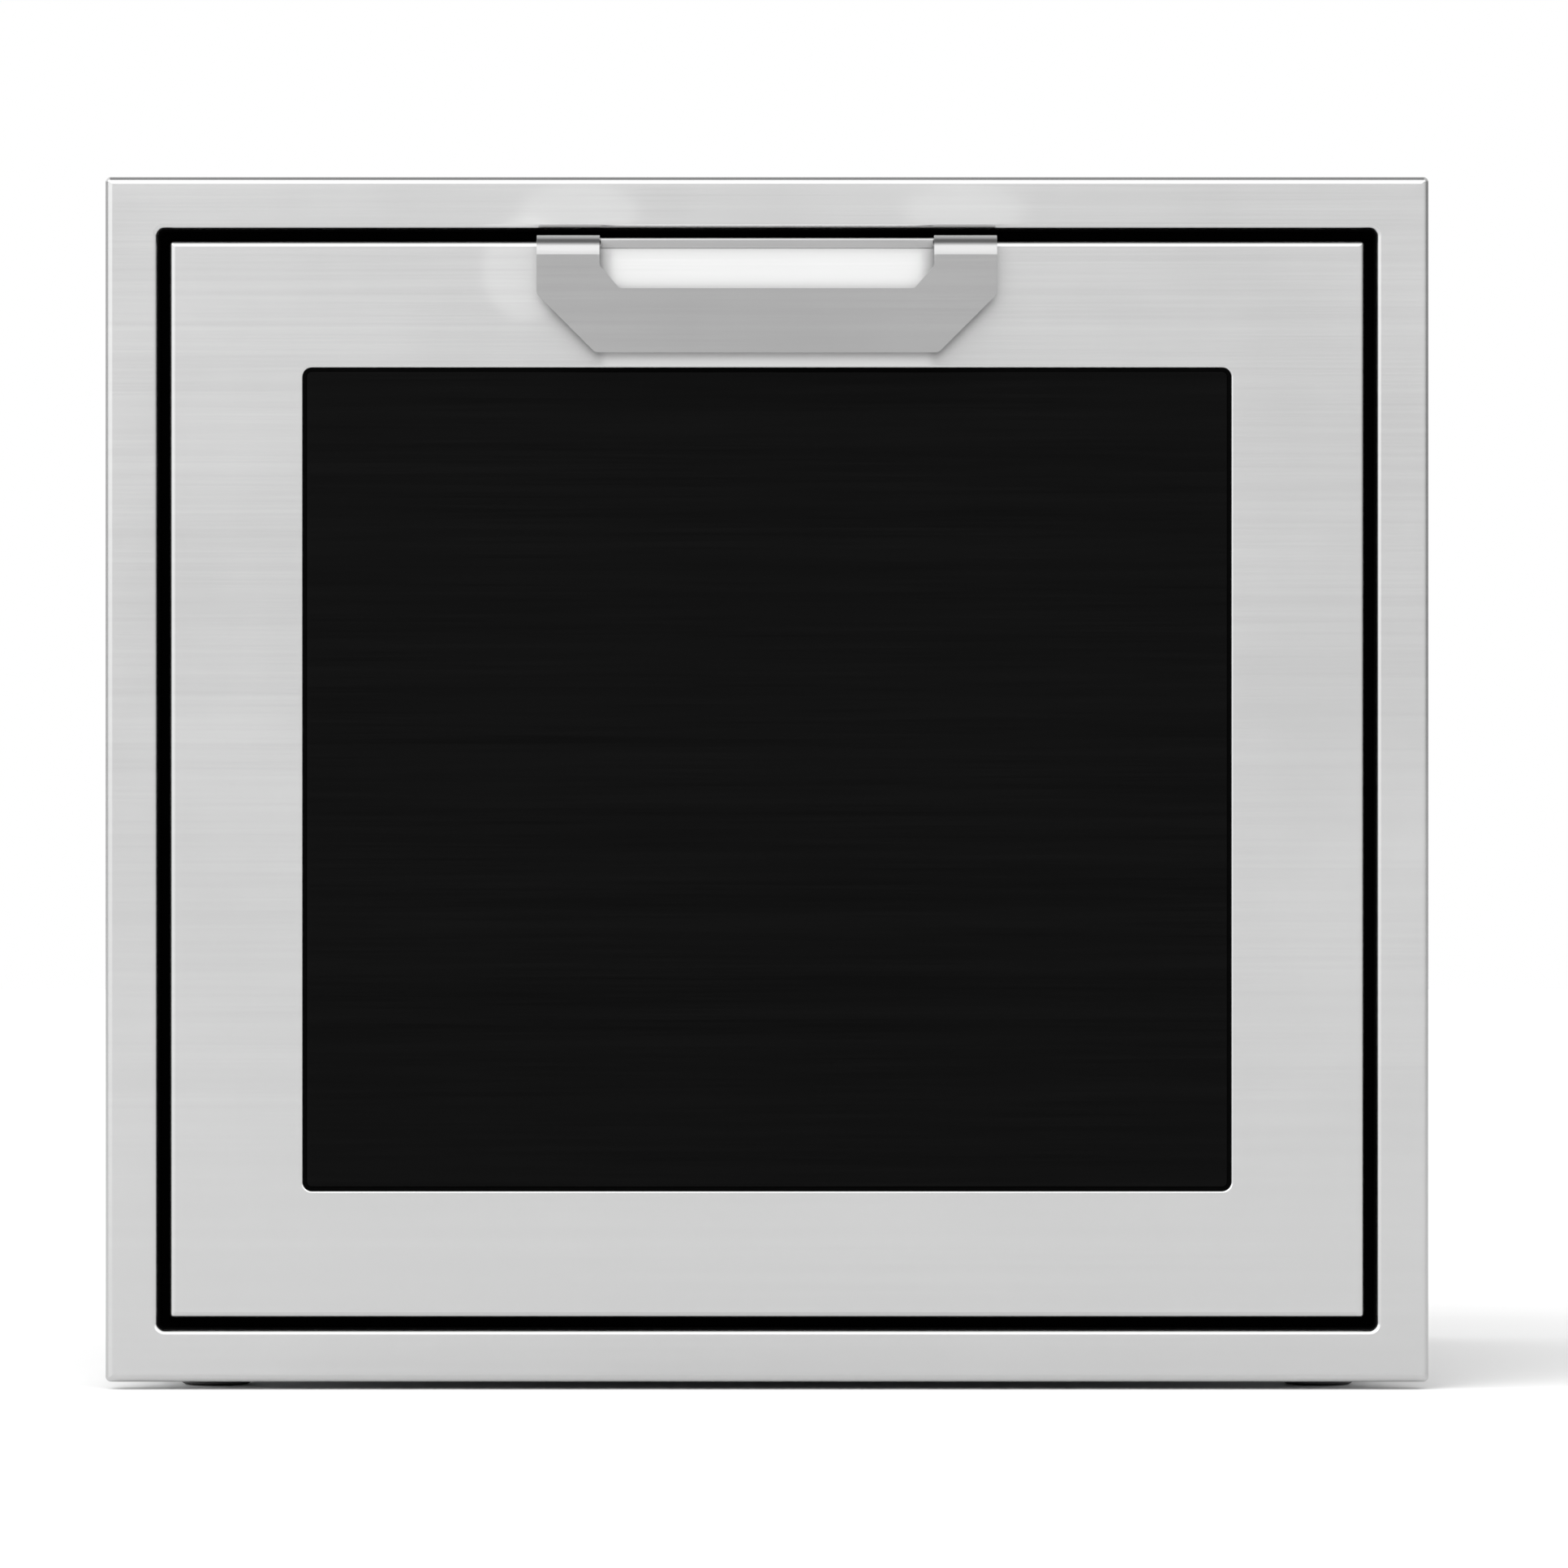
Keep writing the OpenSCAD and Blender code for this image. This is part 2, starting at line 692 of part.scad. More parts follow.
module bag_buttons() {
    z = rim_z - 26;
    color("dodgerblue") both_sides() for (d = [press_d - 120, press_d + 120])
        translate([bin_x, front_y + d, z]) rotate([0, 90, 0]) union() {
            cylinder(r = 4, h = 4);
            translate([0, 0, 4]) cylinder(r = 7, h = 3);
        }
}

// ---------- ram ----------

module ram_crosshead() {
    end_x = [screw_x - 24, inner_x - frame_t - 2.5];
    beam_d = [press_d - 20, press_d + 20];
    column = 20;
    color("slategray") difference() {
        union() {
            block([-end_x[0], end_x[0]], beam_d, [cross_z, cross_z + cross_h]);
            both_sides() block(end_x, [press_d - cross_w / 2, press_d + cross_w / 2],
                [cross_z, cross_z + cross_h]);
            both_sides() block([platen_x * 0.65 - column, platen_x * 0.65 + column], beam_d,
                [platen_z + platen_t, cross_z]);
        }
        block([-end_x[0] + 8, end_x[0] - 8], [beam_d[0] + 4, beam_d[1] - 4],
            [cross_z + 4, cross_z + cross_h - 4]);
        for (side = [-1, 1])
            post(side * screw_x, press_d, nut_od / 2, [cross_z - cut, cross_z + cross_h + cut]);
    }
}

module ram_skirt() {
    x = platen_x - skirt_in;
    d = [platen_d[0] + skirt_in, platen_d[1] - skirt_in];
    z = [platen_z + platen_t, cross_z];
    lip = 15;
    color("silver") difference() {
        flat_plate(z) round_rect([-x, x], d, 10);
        flat_plate([z[0] - cut, z[1] - sheet])
            round_rect([-x + sheet, x - sheet], [d[0] + sheet, d[1] - sheet], 10 - sheet);
        flat_plate([z[0] - cut, z[1] + cut]) round_rect([-x + lip, x - lip], [d[0] + lip, d[1] - lip], 4);
    }
}

module ram_platen() {
    color("silver") flat_plate([platen_z, platen_z + platen_t])
        round_rect([-platen_x, platen_x], platen_d, bin_r - bin_wall);
}

module ram_nuts() {
    color("goldenrod") for (side = [-1, 1]) difference() {
        union() {
            post(side * screw_x, press_d, nut_od / 2, [cross_z, cross_z + cross_h]);
            post(side * screw_x, press_d, nut_flange_d / 2, [cross_z - 6, cross_z]);
        }
        post(side * screw_x, press_d, screw_d / 2 + run_fit, [cross_z - 7, cross_z + cross_h + cut]);
    }
}

module ram_guide_shoes() {
    shoe_x = [screw_x - 14, screw_x + 18];
    z = [cross_z + 2, cross_z + cross_h - 2];
    reach = 0.3;
    color("ivory") both_sides() {
        block(shoe_x, [upright_d[0] + frame_t + reach, press_d - cross_w / 2], z);
        block(shoe_x, [press_d + cross_w / 2, upright_d[1] - frame_t - reach], z);
    }
}

// ---------- power screws and chain ----------

// A single-start screw. Its thread ends below in a relief as long as the lead, cut to the root.
module power_screw() {
    low = floor_z + press_plate_t + 1;
    seat = low + bearing_w + 1;
    thread = [floor_z + 32, beam_z - 2];
    top = beam_z + bearing_w;
    root_r = screw_d / 2 - lead / 2;
    color("gainsboro") union() {
        post(screw_x, press_d, bearing_id / 2, [low, seat]);
        post(screw_x, press_d, screw_seat_r, [seat, thread[0]]);
        post(screw_x, press_d, root_r, [thread[0], thread[0] + lead]);
        post(screw_x, press_d, screw_d / 2, [thread[0] + lead, thread[1]]);
        post(screw_x, press_d, bearing_id / 2, [thread[1], top + 9]);
        // thrust collar above the top bearing
        post(screw_x, press_d, bearing_id / 2 + 5, [top + 1, top + 8]);
    }
}

module left_power_screw() { mirror([1, 0, 0]) power_screw(); }

module right_power_screw() { power_screw(); }

// A sprocket with a hub above it and a bore.
module sprocket(point, bore_r) {
    hub_r = sprocket_r - link_half - 1.5;
    hub_h = 11;
    translate([point[0], front_y + point[1], sprocket_z]) difference() {
        union() {
            linear_extrude(sprocket_t) difference() {
                circle(sprocket_tip);
                for (i = [1:sprocket_teeth])
                    rotate(360 * i / sprocket_teeth) translate([sprocket_r, 0]) circle(roller_r + 0.1);
            }
            cylinder(r = hub_r, h = hub_h);
        }
        translate([0, 0, -cut]) cylinder(r = bore_r, h = hub_h + 2 * cut);
    }
}

module left_sprocket() { color("dimgray") sprocket(left_point, screw_seat_r); }

module right_sprocket() { color("dimgray") sprocket(right_point, screw_seat_r); }

module tensioner_sprocket() { color("dimgray") sprocket(tension_point, tension_pin_r + run_fit); }

// The outline of a loop drawn tight round a row of circles, given anticlockwise by centre and radius.
module loop_outline(centres, radii) {
    n = len(centres);
    // direction of the outward normal along each straight run
    normals = [for (i = [0:n - 1])
        let (e = centres[(i + 1) % n] - centres[i])
        atan2(e[1], e[0]) - 90 + asin((radii[i] - radii[(i + 1) % n]) / norm(e))];
    polygon([for (i = [0:n - 1])
        let (from = normals[(i + n - 1) % n], turn = (normals[i] - from + 720) % 360)
        let (steps = ceil(turn / 7.5))
        for (k = [0:steps])
            let (a = from + turn * k / steps) centres[i] + radii[i] * [cos(a), sin(a)]]);
}

// The same radius at each of n circles, for loop_outline.
function equal_radii(r, n) = [for (i = [1:n]) r];

// The chain: an upper and a lower run of side plates, joined by a roller at each pitch of the straight runs.
// On the sprockets the teeth fill the rollers' places, so none is drawn there.
module drive_chain() {
    plates = [sprocket_z - 0.25 - link_t, sprocket_z + sprocket_t + 0.25];
    n = len(chain_points);
    color("darkslategray") union() {
        for (z = plates) flat_plate([z, z + link_t]) difference() {
            loop_outline(chain_points, equal_radii(sprocket_r + link_half, n));
            loop_outline(chain_points, equal_radii(sprocket_r - link_half, n));
        }
        for (i = [0:n - 1]) {
            a = chain_points[i];
            e = chain_points[(i + 1) % n] - a;
            along = e / norm(e);
            out = [along[1], -along[0]];
            count = floor((norm(e) - 3.2 * chain_pitch) / chain_pitch);
            first = (norm(e) - count * chain_pitch) / 2;
            for (k = [0:count]) {
                p = a + (first + k * chain_pitch) * along + sprocket_r * out;
                post(p[0], p[1], roller_r, [plates[0] + link_t / 2, plates[1] + link_t / 2]);
            }
        }
    }
}

// ---------- drive ----------

module drive_belt() {
    mid = pulley_z + pulley_face / 2;
    centres = [[motor_x, shaft_d], [counter_x, shaft_d]];
    radii = [small_pulley_r, large_pulley_r];
    half = equal_radii(belt_t / 2, 2);
    color("black") flat_plate([mid - belt_w / 2, mid + belt_w / 2]) difference() {
        loop_outline(centres, radii + half);
        loop_outline(centres, radii - half);
    }
}

// A grooved pulley whose belt runs at pitch radius r.
module pulley(x, r, bore_r) {
    groove = belt_w + 1;
    rim = (pulley_face - groove) / 2;
    outer = r + belt_t / 2 + 1;
    translate([x, front_y + shaft_d, pulley_z]) difference() {
        union() {
            cylinder(r = outer, h = rim);
            cylinder(r = r - belt_t / 2 - 0.3, h = pulley_face);
            translate([0, 0, pulley_face - rim]) cylinder(r = outer, h = rim);
        }
        translate([0, 0, -cut]) cylinder(r = bore_r, h = pulley_face + 2 * cut);
    }
}

module motor_pulley() { color("lightsteelblue") pulley(motor_x, small_pulley_r, drive_r); }

module belt_pulley() {
    web = large_pulley_r - 9;
    color("lightsteelblue") difference() {
        pulley(counter_x, large_pulley_r, drive_r);
        // four windows lighten the web
        for (a = [45:90:315])
            translate([counter_x, front_y + shaft_d, pulley_z - cut]) rotate(a)
                translate([(web + 12) / 2, 0, 0]) cylinder(r = (web - 14) / 2, h = pulley_face + 2 * cut);
    }
}

// How far round an involute has turned by radius r.
function flank_angle(r, base) = let (t = sqrt(max(0, pow(r / base, 2) - 1))) t * 180 / PI - atan(t);

// An involute spur gear outline with a tooth centred on +X.
module gear_outline(teeth) {
    pitch_r = gear_module * teeth / 2;
    base = pitch_r * cos(pressure);
    tip = pitch_r + gear_module;
    root = pitch_r - 1.25 * gear_module;
    half = 90 / teeth - backlash / pitch_r * 90 / PI + flank_angle(pitch_r, base);
    start = max(root, base);
    flank = [for (i = [0:3]) start + (tip - start) * i / 3];
    side = concat([[root, half]], [for (r = flank) [r, half - flank_angle(r, base)]]);
    tooth = concat([for (p = side) [p[0], -p[1]]], [for (i = [len(side) - 1:-1:0]) side[i]]);
    polygon([for (k = [0:teeth - 1], p = tooth)
        let (a = p[1] + 360 * k / teeth) p[0] * [cos(a), sin(a)]]);
}

module drive_gear() {
    color("dimgray") translate([0, front_y + shaft_d, gear_z]) difference() {
        union() {
            linear_extrude(gear_face) gear_outline(gear_teeth);
            translate([0, 0, -4]) cylinder(r = 12, h = gear_face + 6);
        }
        translate([0, 0, -5]) cylinder(r = drive_r, h = gear_face + 10);
    }
}

module pinion_shaft() {
    z = floor_z + 5;
    color("gainsboro") union() {
        post(counter_x, shaft_d, drive_r, [z, pulley_z + pulley_face + 3]);
        translate([counter_x, front_y + shaft_d, gear_z - 1]) rotate(180 / pinion_teeth)
            linear_extrude(gear_face + 2) gear_outline(pinion_teeth);
    }
}

module sprocket_shaft() {
    color("gainsboro") union() {
        post(0, shaft_d, drive_r, [floor_z + 5, bearing_plate_z + 8]);
        sprocket(drive_point, drive_r - 1);
    }
}

module drive_bracket() {
    post_x = [bracket_x[0] + 10, bracket_x[1] - 10];
    post_d = [bracket_d[0] + 8, bracket_d[1] - 8];
    seat_z = floor_z + plate_t;
    color("slategray") difference() {
        union() {
            block(bracket_x, bracket_d, [floor_z, seat_z]);
            block(bracket_x, bracket_d, [bearing_plate_z, bearing_plate_z + plate_t]);
            block([motor_x - motor_d / 2 - 8, bracket_x[1]], bracket_d, [motor_plate_z, motor_z]);
            for (x = post_x, d = post_d) post(x, d, post_r, [seat_z, motor_plate_z]);
            for (x = [0, counter_x])
                post(x, shaft_d, drive_bearing_od / 2 + 4, [seat_z, seat_z + drive_bearing_w + 1]);
        }
        for (x = [0, counter_x]) {
            post(x, shaft_d, drive_bearing_od / 2, [seat_z + 1, seat_z + drive_bearing_w + 2]);
            post(x, shaft_d, drive_bearing_od / 2, [bearing_plate_z - cut, bearing_plate_z + plate_t + cut]);
        }
        post(motor_x, shaft_d, 20, [motor_plate_z - cut, motor_z + cut]);
    }
}

module drive_bearings() {
    seat_z = floor_z + plate_t + 1;
    id = 2 * drive_r;
    color("lightsteelblue") {
        for (x = [0, counter_x], z = [seat_z, bearing_plate_z - 2])
            ball_bearing(x, shaft_d, z, drive_bearing_od, id, drive_bearing_w);
        for (z = [motor_z + 2, motor_z + 2 * bell_h + shell_h - 2 - drive_bearing_w])
            ball_bearing(motor_x, shaft_d, z, drive_bearing_od, id, drive_bearing_w);
    }
}

// One end bell of the motor: a cup with a bearing hub and eight vents.
module end_bell() {
    r = motor_d / 2;
    difference() {
        union() {
            difference() {
                cylinder(r = r, h = bell_h);
                translate([0, 0, 5]) cylinder(r = r - motor_wall, h = bell_h);
            }
            cylinder(r = drive_bearing_od / 2 + 4, h = 2 + drive_bearing_w);
        }
        translate([0, 0, 2]) cylinder(r = drive_bearing_od / 2, h = bell_h);
        translate([0, 0, -cut]) cylinder(r = drive_r + 2, h = bell_h);
        for (a = [22.5:45:359]) rotate(a) translate([r - 8, -7, 8]) cube([12, 14, 6]);
    }
}

module motor_end_bells() {
    color("lightgray") translate([motor_x, front_y + shaft_d, motor_z]) {
        end_bell();
        translate([0, 0, 2 * bell_h + shell_h]) mirror([0, 0, 1]) end_bell();
    }
}

module motor_shell() {
    color("slategray") difference() {
        post(motor_x, shaft_d, motor_d / 2, [motor_z + bell_h, motor_z + bell_h + shell_h]);
        post(motor_x, shaft_d, motor_d / 2 - motor_wall, [motor_z, motor_z + 2 * bell_h + shell_h]);
    }
}

module stator_core() {
    low = motor_z + bell_h + 8;
    high = motor_z + bell_h + shell_h - 8;
    color("peru") difference() {
        union() {
            post(motor_x, shaft_d, motor_d / 2 - motor_wall, [low, high]);
            // winding heads above and below the stack
            post(motor_x, shaft_d, motor_d / 2 - motor_wall - 8, [low - 8, high + 8]);
        }
        post(motor_x, shaft_d, rotor_r + air_gap, [low - 9, high + 9]);
    }
}

module motor_rotor() {
    low = motor_z + bell_h + 8;
    high = motor_z + bell_h + shell_h - 8;
    fan_z = motor_z + bell_h + shell_h + 2;
    color("gainsboro") union() {
        post(motor_x, shaft_d, drive_r, [pulley_z, motor_z + 2 * bell_h + shell_h + 2]);
        post(motor_x, shaft_d, rotor_r, [low, high]);
        // cooling fan
        post(motor_x, shaft_d, fan_r, [fan_z, fan_z + 2]);
        for (a = [0:45:315]) translate([motor_x, front_y + shaft_d, fan_z + 2]) rotate(a)
            translate([fan_r - 14, -1, 0]) cube([14, 2, 7]);
    }
}

module start_capacitor() {
    x = motor_x - motor_d / 2 - 50;
    top = floor_z + 92;
    color("darkslategray") union() {
        post(x, shaft_d, 19, [floor_z, top]);
        for (i = [-1, 1])
            block([x + 7 * i - 3, x + 7 * i + 3], [shaft_d - 0.5, shaft_d + 0.5], [top, top + 9]);
        block([x - 24, x + 24], [shaft_d - 8, shaft_d + 8], [floor_z + 40, floor_z + 52]);
    }
}

module motor_shroud() {
    z = [chassis_z - 2, rim_z + 20];
    foot = 30;
    color("gainsboro") union() {
        block([-inner_x, inner_x], [shroud_d, shroud_d + sheet], z);
        block([-inner_x, inner_x], [shroud_d, back_d - sheet], [z[1], z[1] + sheet]);
        both_sides() block([inner_x - foot, inner_x], [shroud_d, shroud_d + sheet], [floor_z, z[0]]);
    }
}

// ---------- controls ----------

module control_panel() {
    x = [-control_w / 2, control_w / 2];
    inner_d = [control_d[0] + sheet, control_d[1] + cut];
    hole_d = [control_d[0] - cut, control_d[0] + sheet + cut];
    color("gainsboro") difference() {
        union() {
            block(x, control_d, control_z);
            // tabs that hang it from the top panel
            both_sides() block([x[1] - 30, x[1]], [control_d[1] - sheet, control_d[1]],
                [control_z[1] - 10, ceiling_z]);
        }
        block([x[0] + sheet, x[1] - sheet], inner_d, [control_z[0] + sheet, control_z[1] - sheet]);
        for (bx = [start_x, stop_x]) pin_back(bx, control_mid, button_d / 2 + control_fit, hole_d);
        pin_back(key_x, control_mid, key_r + control_fit, hole_d);
    }
}

// A button that stands proud of the panel by its travel and a little more, with a flange that keeps it in.
module push_button(x) {
    flange_d = control_d[0] + sheet + slide_fit;
    union() {
        pin_back(x, control_mid, button_d / 2, [control_d[0] - button_travel - 1, flange_d + 3]);
        pin_back(x, control_mid, button_d / 2 + 2, [flange_d, flange_d + 3]);
    }
}

module start_button() { color("limegreen") push_button(start_x); }

module stop_button() { color("red") push_button(stop_x); }

// A round lock with a flange behind the panel and a key's bow in front.
module key_switch() {
    face = control_d[0] - 2;
    flange_d = control_d[0] + sheet + slide_fit;
    color("silver") union() {
        pin_back(key_x, control_mid, key_r, [face, control_d[0] + 16]);
        pin_back(key_x, control_mid, key_r + 2, [flange_d, flange_d + 3]);
        block([key_x - 2, key_x + 2], [face - 4, face], [control_mid - 9, control_mid + 9]);
    }
}

trim_frame();
front_gasket();
front_bulkhead();
left_side_panel();
right_side_panel();
top_panel();
back_panel();
base_pan();
levelling_legs();
cabinet_screws();
left_upright();
right_upright();
top_beam();
press_base_plate();
screw_bearings();
left_drawer_rail();
right_drawer_rail();
slide_outer_members();
motor_shroud();
drive_bracket();
drive_bearings();
motor_shell();
motor_end_bells();
stator_core();
start_capacitor();
drive_chain();
drive_belt();
control_panel();
power_inlet();
limit_switches();
drawer_front_skin();
drawer_front_liner();
dark_panel();
handle();
drawer_screws();
drawer_chassis();
slide_inner_members();
bin();
bag_buttons();
left_slide_middle();
right_slide_middle();
ram_crosshead();
ram_skirt();
ram_platen();
ram_nuts();
ram_guide_shoes();
left_power_screw();
left_sprocket();
right_power_screw();
right_sprocket();
tensioner_sprocket();
motor_rotor();
motor_pulley();
pinion_shaft();
belt_pulley();
sprocket_shaft();
drive_gear();
start_button();
stop_button();
key_switch();
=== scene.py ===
# %% [markdown]
# # A built-in trash compactor
# The appliance is a stainless front set into an outdoor kitchen: a folded trim frame, a flush drawer with
# a bent-plate handle and a black inset panel. Behind it are a bin on telescopic slides, and a press with
# two power screws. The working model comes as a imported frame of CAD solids, and this lesson gives it its
# looks. A piece that a camera comes close to is built again in mesh code. The others keep their CAD shape.

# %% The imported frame
import json
import math

import bmesh
import bpy
from mathutils import Matrix, Vector


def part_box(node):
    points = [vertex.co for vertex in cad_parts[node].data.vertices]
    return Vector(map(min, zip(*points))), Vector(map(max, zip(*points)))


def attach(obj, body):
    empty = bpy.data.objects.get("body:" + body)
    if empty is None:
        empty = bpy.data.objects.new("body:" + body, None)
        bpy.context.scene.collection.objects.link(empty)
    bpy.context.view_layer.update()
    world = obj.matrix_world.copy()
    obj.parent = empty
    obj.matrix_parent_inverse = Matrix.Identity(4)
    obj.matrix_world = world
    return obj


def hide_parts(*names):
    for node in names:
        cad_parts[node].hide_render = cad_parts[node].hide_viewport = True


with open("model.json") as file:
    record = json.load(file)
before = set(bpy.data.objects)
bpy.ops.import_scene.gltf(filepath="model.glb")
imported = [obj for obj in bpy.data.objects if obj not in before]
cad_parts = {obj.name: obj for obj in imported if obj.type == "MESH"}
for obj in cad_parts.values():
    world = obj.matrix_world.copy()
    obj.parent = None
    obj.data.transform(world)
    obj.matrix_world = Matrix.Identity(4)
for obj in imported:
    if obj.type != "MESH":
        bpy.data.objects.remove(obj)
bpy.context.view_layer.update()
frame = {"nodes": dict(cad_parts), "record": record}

scene = bpy.context.scene
mm = 0.001
micron = 0.001 * mm
bodies = frame["record"]["behaviour"]["bodies"]
body_of = {node: body for body, nodes in bodies.items() for node in nodes}

# %% [markdown]
# ## Camera
# A long lens keeps the front's straight lines straight, as in a catalogue picture. The picture's width in
# metres at the front face decides the distance, because a lens and a sensor fix only the angle.

# %% Camera
front_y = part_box("drawer_front_skin")[0].y
frame_low, frame_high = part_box("trim_frame")
picture_width = 1.1845 * (frame_high.x - frame_low.x)
sideways, downwards = 9.8 * mm, 2.7 * mm
camera_data = bpy.data.cameras.new("camera")
camera_data.lens = 250
camera_data.sensor_width = 36
camera_data.clip_end = 100
camera = bpy.data.objects.new("camera", camera_data)
distance = picture_width * camera_data.lens / camera_data.sensor_width
camera.location = (sideways, front_y - distance, (frame_low.z + frame_high.z) / 2 - downwards)
camera.rotation_euler = (math.radians(90), 0, 0)
scene.collection.objects.link(camera)
scene.camera = camera
print("camera", round(distance, 2), "m from the front face")

# %% [markdown]
# ## Small tools for shader nodes
# `add` makes one node with its settings and its inputs, so that a material reads as a list of steps.
# `new_group` opens a node group with named inputs and outputs. An effect that several finishes share, such
# as brushed grain, is built once as a group, and `place` puts it in each of them with its own values.

# %% Node tools
def add(tree, kind, inputs=None, **settings):
    node = tree.nodes.new("ShaderNode" + kind)
    for name, value in settings.items():
        setattr(node, name, value)
    for key, value in (inputs or {}).items():
        if isinstance(value, bpy.types.NodeSocket):
            tree.links.new(value, node.inputs[key])
        else:
            node.inputs[key].default_value = value
    return node


def new_group(name, inputs, outputs):
    tree = bpy.data.node_groups.new(name, "ShaderNodeTree")
    for label, value in inputs.items():
        kind = "NodeSocketVector" if hasattr(value, "__len__") else "NodeSocketFloat"
        tree.interface.new_socket(label, in_out="INPUT", socket_type=kind).default_value = value
    for label in outputs:
        tree.interface.new_socket(label, in_out="OUTPUT", socket_type="NodeSocketFloat")
    return tree, tree.nodes.new("NodeGroupInput").outputs, tree.nodes.new("NodeGroupOutput").inputs


def place(tree, group, **inputs):
    node = tree.nodes.new("ShaderNodeGroup")
    node.node_tree = group
    for name, value in inputs.items():
        node.inputs[name.replace("_", " ")].default_value = value
    return node.outputs


print("node tools ready")

# %% [markdown]
# ## Sums, ranges and noise
# A few small steps come up in every finish. `stretch` spreads a mask over a range of values, and `squeeze`
# makes a mask out of a range. Noise is always read at object coordinates. They belong to the piece, so its
# scratches stay with it when the drawer slides out.

# %% Sums, ranges and noise
def stretch(tree, socket, low, high):
    """Maps 0 to 1 onto low to high."""
    return add(tree, "MapRange", {"Value": socket, "To Min": low, "To Max": high}).outputs[0]


def squeeze(tree, socket, low, high):
    """Maps low to high onto 0 to 1."""
    return add(tree, "MapRange", {"Value": socket, "From Min": low, "From Max": high}).outputs[0]


def multiply(tree, a, b):
    return add(tree, "Math", {0: a, 1: b}, operation="MULTIPLY").outputs[0]


def total(tree, a, b):
    return add(tree, "Math", {0: a, 1: b}, operation="ADD").outputs[0]


def object_place(tree):
    return add(tree, "TexCoord").outputs["Object"]


def noise(tree, vector, scale, detail, **more):
    """The first output is the noise's value, the second its colour."""
    return add(tree, "TexNoise", {"Vector": vector, "Scale": scale, "Detail": detail, **more}).outputs


print("ranges, sums and noise ready")

# %% [markdown]
# ## Brushed grain
# A brushed sheet is sanded in one direction, so its scratches are long one way and very fine the others.
# Stretching the object coordinates by a different number along each axis turns round noise into such
# scratches. The same group serves every metal: only the three numbers change. A broader noise keeps the
# streaks from repeating.

# %% Brushed grain group
def make_brushed_grain():
    tree, given, out = new_group("brushed grain", {"Lines per metre": (8, 900, 900)}, ["Streak", "Height"])
    factors = {0: object_place(tree), 1: given["Lines per metre"]}
    scaled = add(tree, "VectorMath", factors, operation="MULTIPLY").outputs[0]
    fine = noise(tree, scaled, 1.0, 3.0, Roughness=0.6)[0]
    broad = noise(tree, scaled, 0.21, 2.0)[0]
    tree.links.new(squeeze(tree, total(tree, fine, broad), 0.7, 1.3), out["Streak"])
    tree.links.new(fine, out["Height"])
    return tree


brushed_grain = make_brushed_grain()
print("group", brushed_grain.name)

# %% [markdown]
# ## Edge wear
# Paint and plating rub thin first along the edges that hands and tools touch. The Bevel node gives the
# normal that the surface would have with rounded edges. Where it differs from the true normal there is an
# edge, and a noise breaks the line up so that it doesn't look drawn on.

# %% Edge wear group
def make_edge_wear():
    tree, given, out = new_group("edge wear", {"Radius": 0.001, "Breakup": 250.0}, ["Mask"])
    rounded = add(tree, "Bevel", {"Radius": given["Radius"]}, samples=4).outputs[0]
    true = add(tree, "NewGeometry").outputs["True Normal"]
    same = add(tree, "VectorMath", {0: rounded, 1: true}, operation="DOT_PRODUCT").outputs["Value"]
    edge = squeeze(tree, same, 0.995, 0.85)
    patchy = noise(tree, object_place(tree), given["Breakup"], 4.0)[0]
    tree.links.new(multiply(tree, edge, squeeze(tree, patchy, 0.42, 0.6)), out["Mask"])
    return tree


edge_wear = make_edge_wear()
print("group", edge_wear.name)

# %% [markdown]
# ## Handling marks and fine texture
# Two more effects are shared. Handling marks are the faint cloudy patches that wiping leaves, and they
# change roughness more than colour. Fine texture is the close, even roughness of powder coat, moulded
# plastic and rubber, with a broad patchiness of tone under it.

# %% Handling marks and fine texture groups
def make_handling_marks():
    tree, given, out = new_group("handling marks", {"Scale": 9.0}, ["Mask"])
    cloud = noise(tree, object_place(tree), given["Scale"], 4.0, Distortion=0.15)[0]
    tree.links.new(squeeze(tree, cloud, 0.35, 0.75), out["Mask"])
    return tree


def make_fine_texture():
    tree, given, out = new_group("fine texture", {"Scale": 900.0}, ["Grain", "Height"])
    where = object_place(tree)
    tree.links.new(noise(tree, where, multiply(tree, given["Scale"], 0.08), 3.0)[0], out["Grain"])
    tree.links.new(noise(tree, where, given["Scale"], 2.0)[0], out["Height"])
    return tree


handling_marks, fine_texture = make_handling_marks(), make_fine_texture()
print("groups", handling_marks.name, fine_texture.name)

# %% [markdown]
# ## How a finish is put together
# Every finish is one Principled shader. Its constants are set on its own sockets, and only what changes
# over the surface comes through links: a colour between two tones, a roughness between two values, and a
# bump. The helpers below take the pairs and the masks, so that each finish is a few plain numbers.

# %% Finish tools
def rgb(tone):
    """A single number stands for a grey."""
    return tone if hasattr(tone, "__len__") else (tone, tone, tone)


def between(low, high, share):
    return tuple(a + (b - a) * share for a, b in zip(rgb(low), rgb(high)))


def mix_colour(tree, factor, first, second):
    """A Mix node has sockets for each kind of value, and its colours go in at 6 and 7 and come out at 2."""
    node = add(tree, "Mix", {0: factor}, data_type="RGBA")
    for index, colour in ((6, first), (7, second)):
        if isinstance(colour, bpy.types.NodeSocket):
            tree.links.new(colour, node.inputs[index])
        else:
            node.inputs[index].default_value = (*rgb(colour), 1)
    return node.outputs[2]


def new_finish(name, metallic=0.0, **constants):
    material = bpy.data.materials.new(name)
    material.use_nodes = True
    tree = material.node_tree
    shader = tree.nodes["Principled BSDF"]
    shader.inputs["Metallic"].default_value = metallic
    for label, value in constants.items():
        shader.inputs[label.replace("_", " ")].default_value = value
    return material, tree, shader


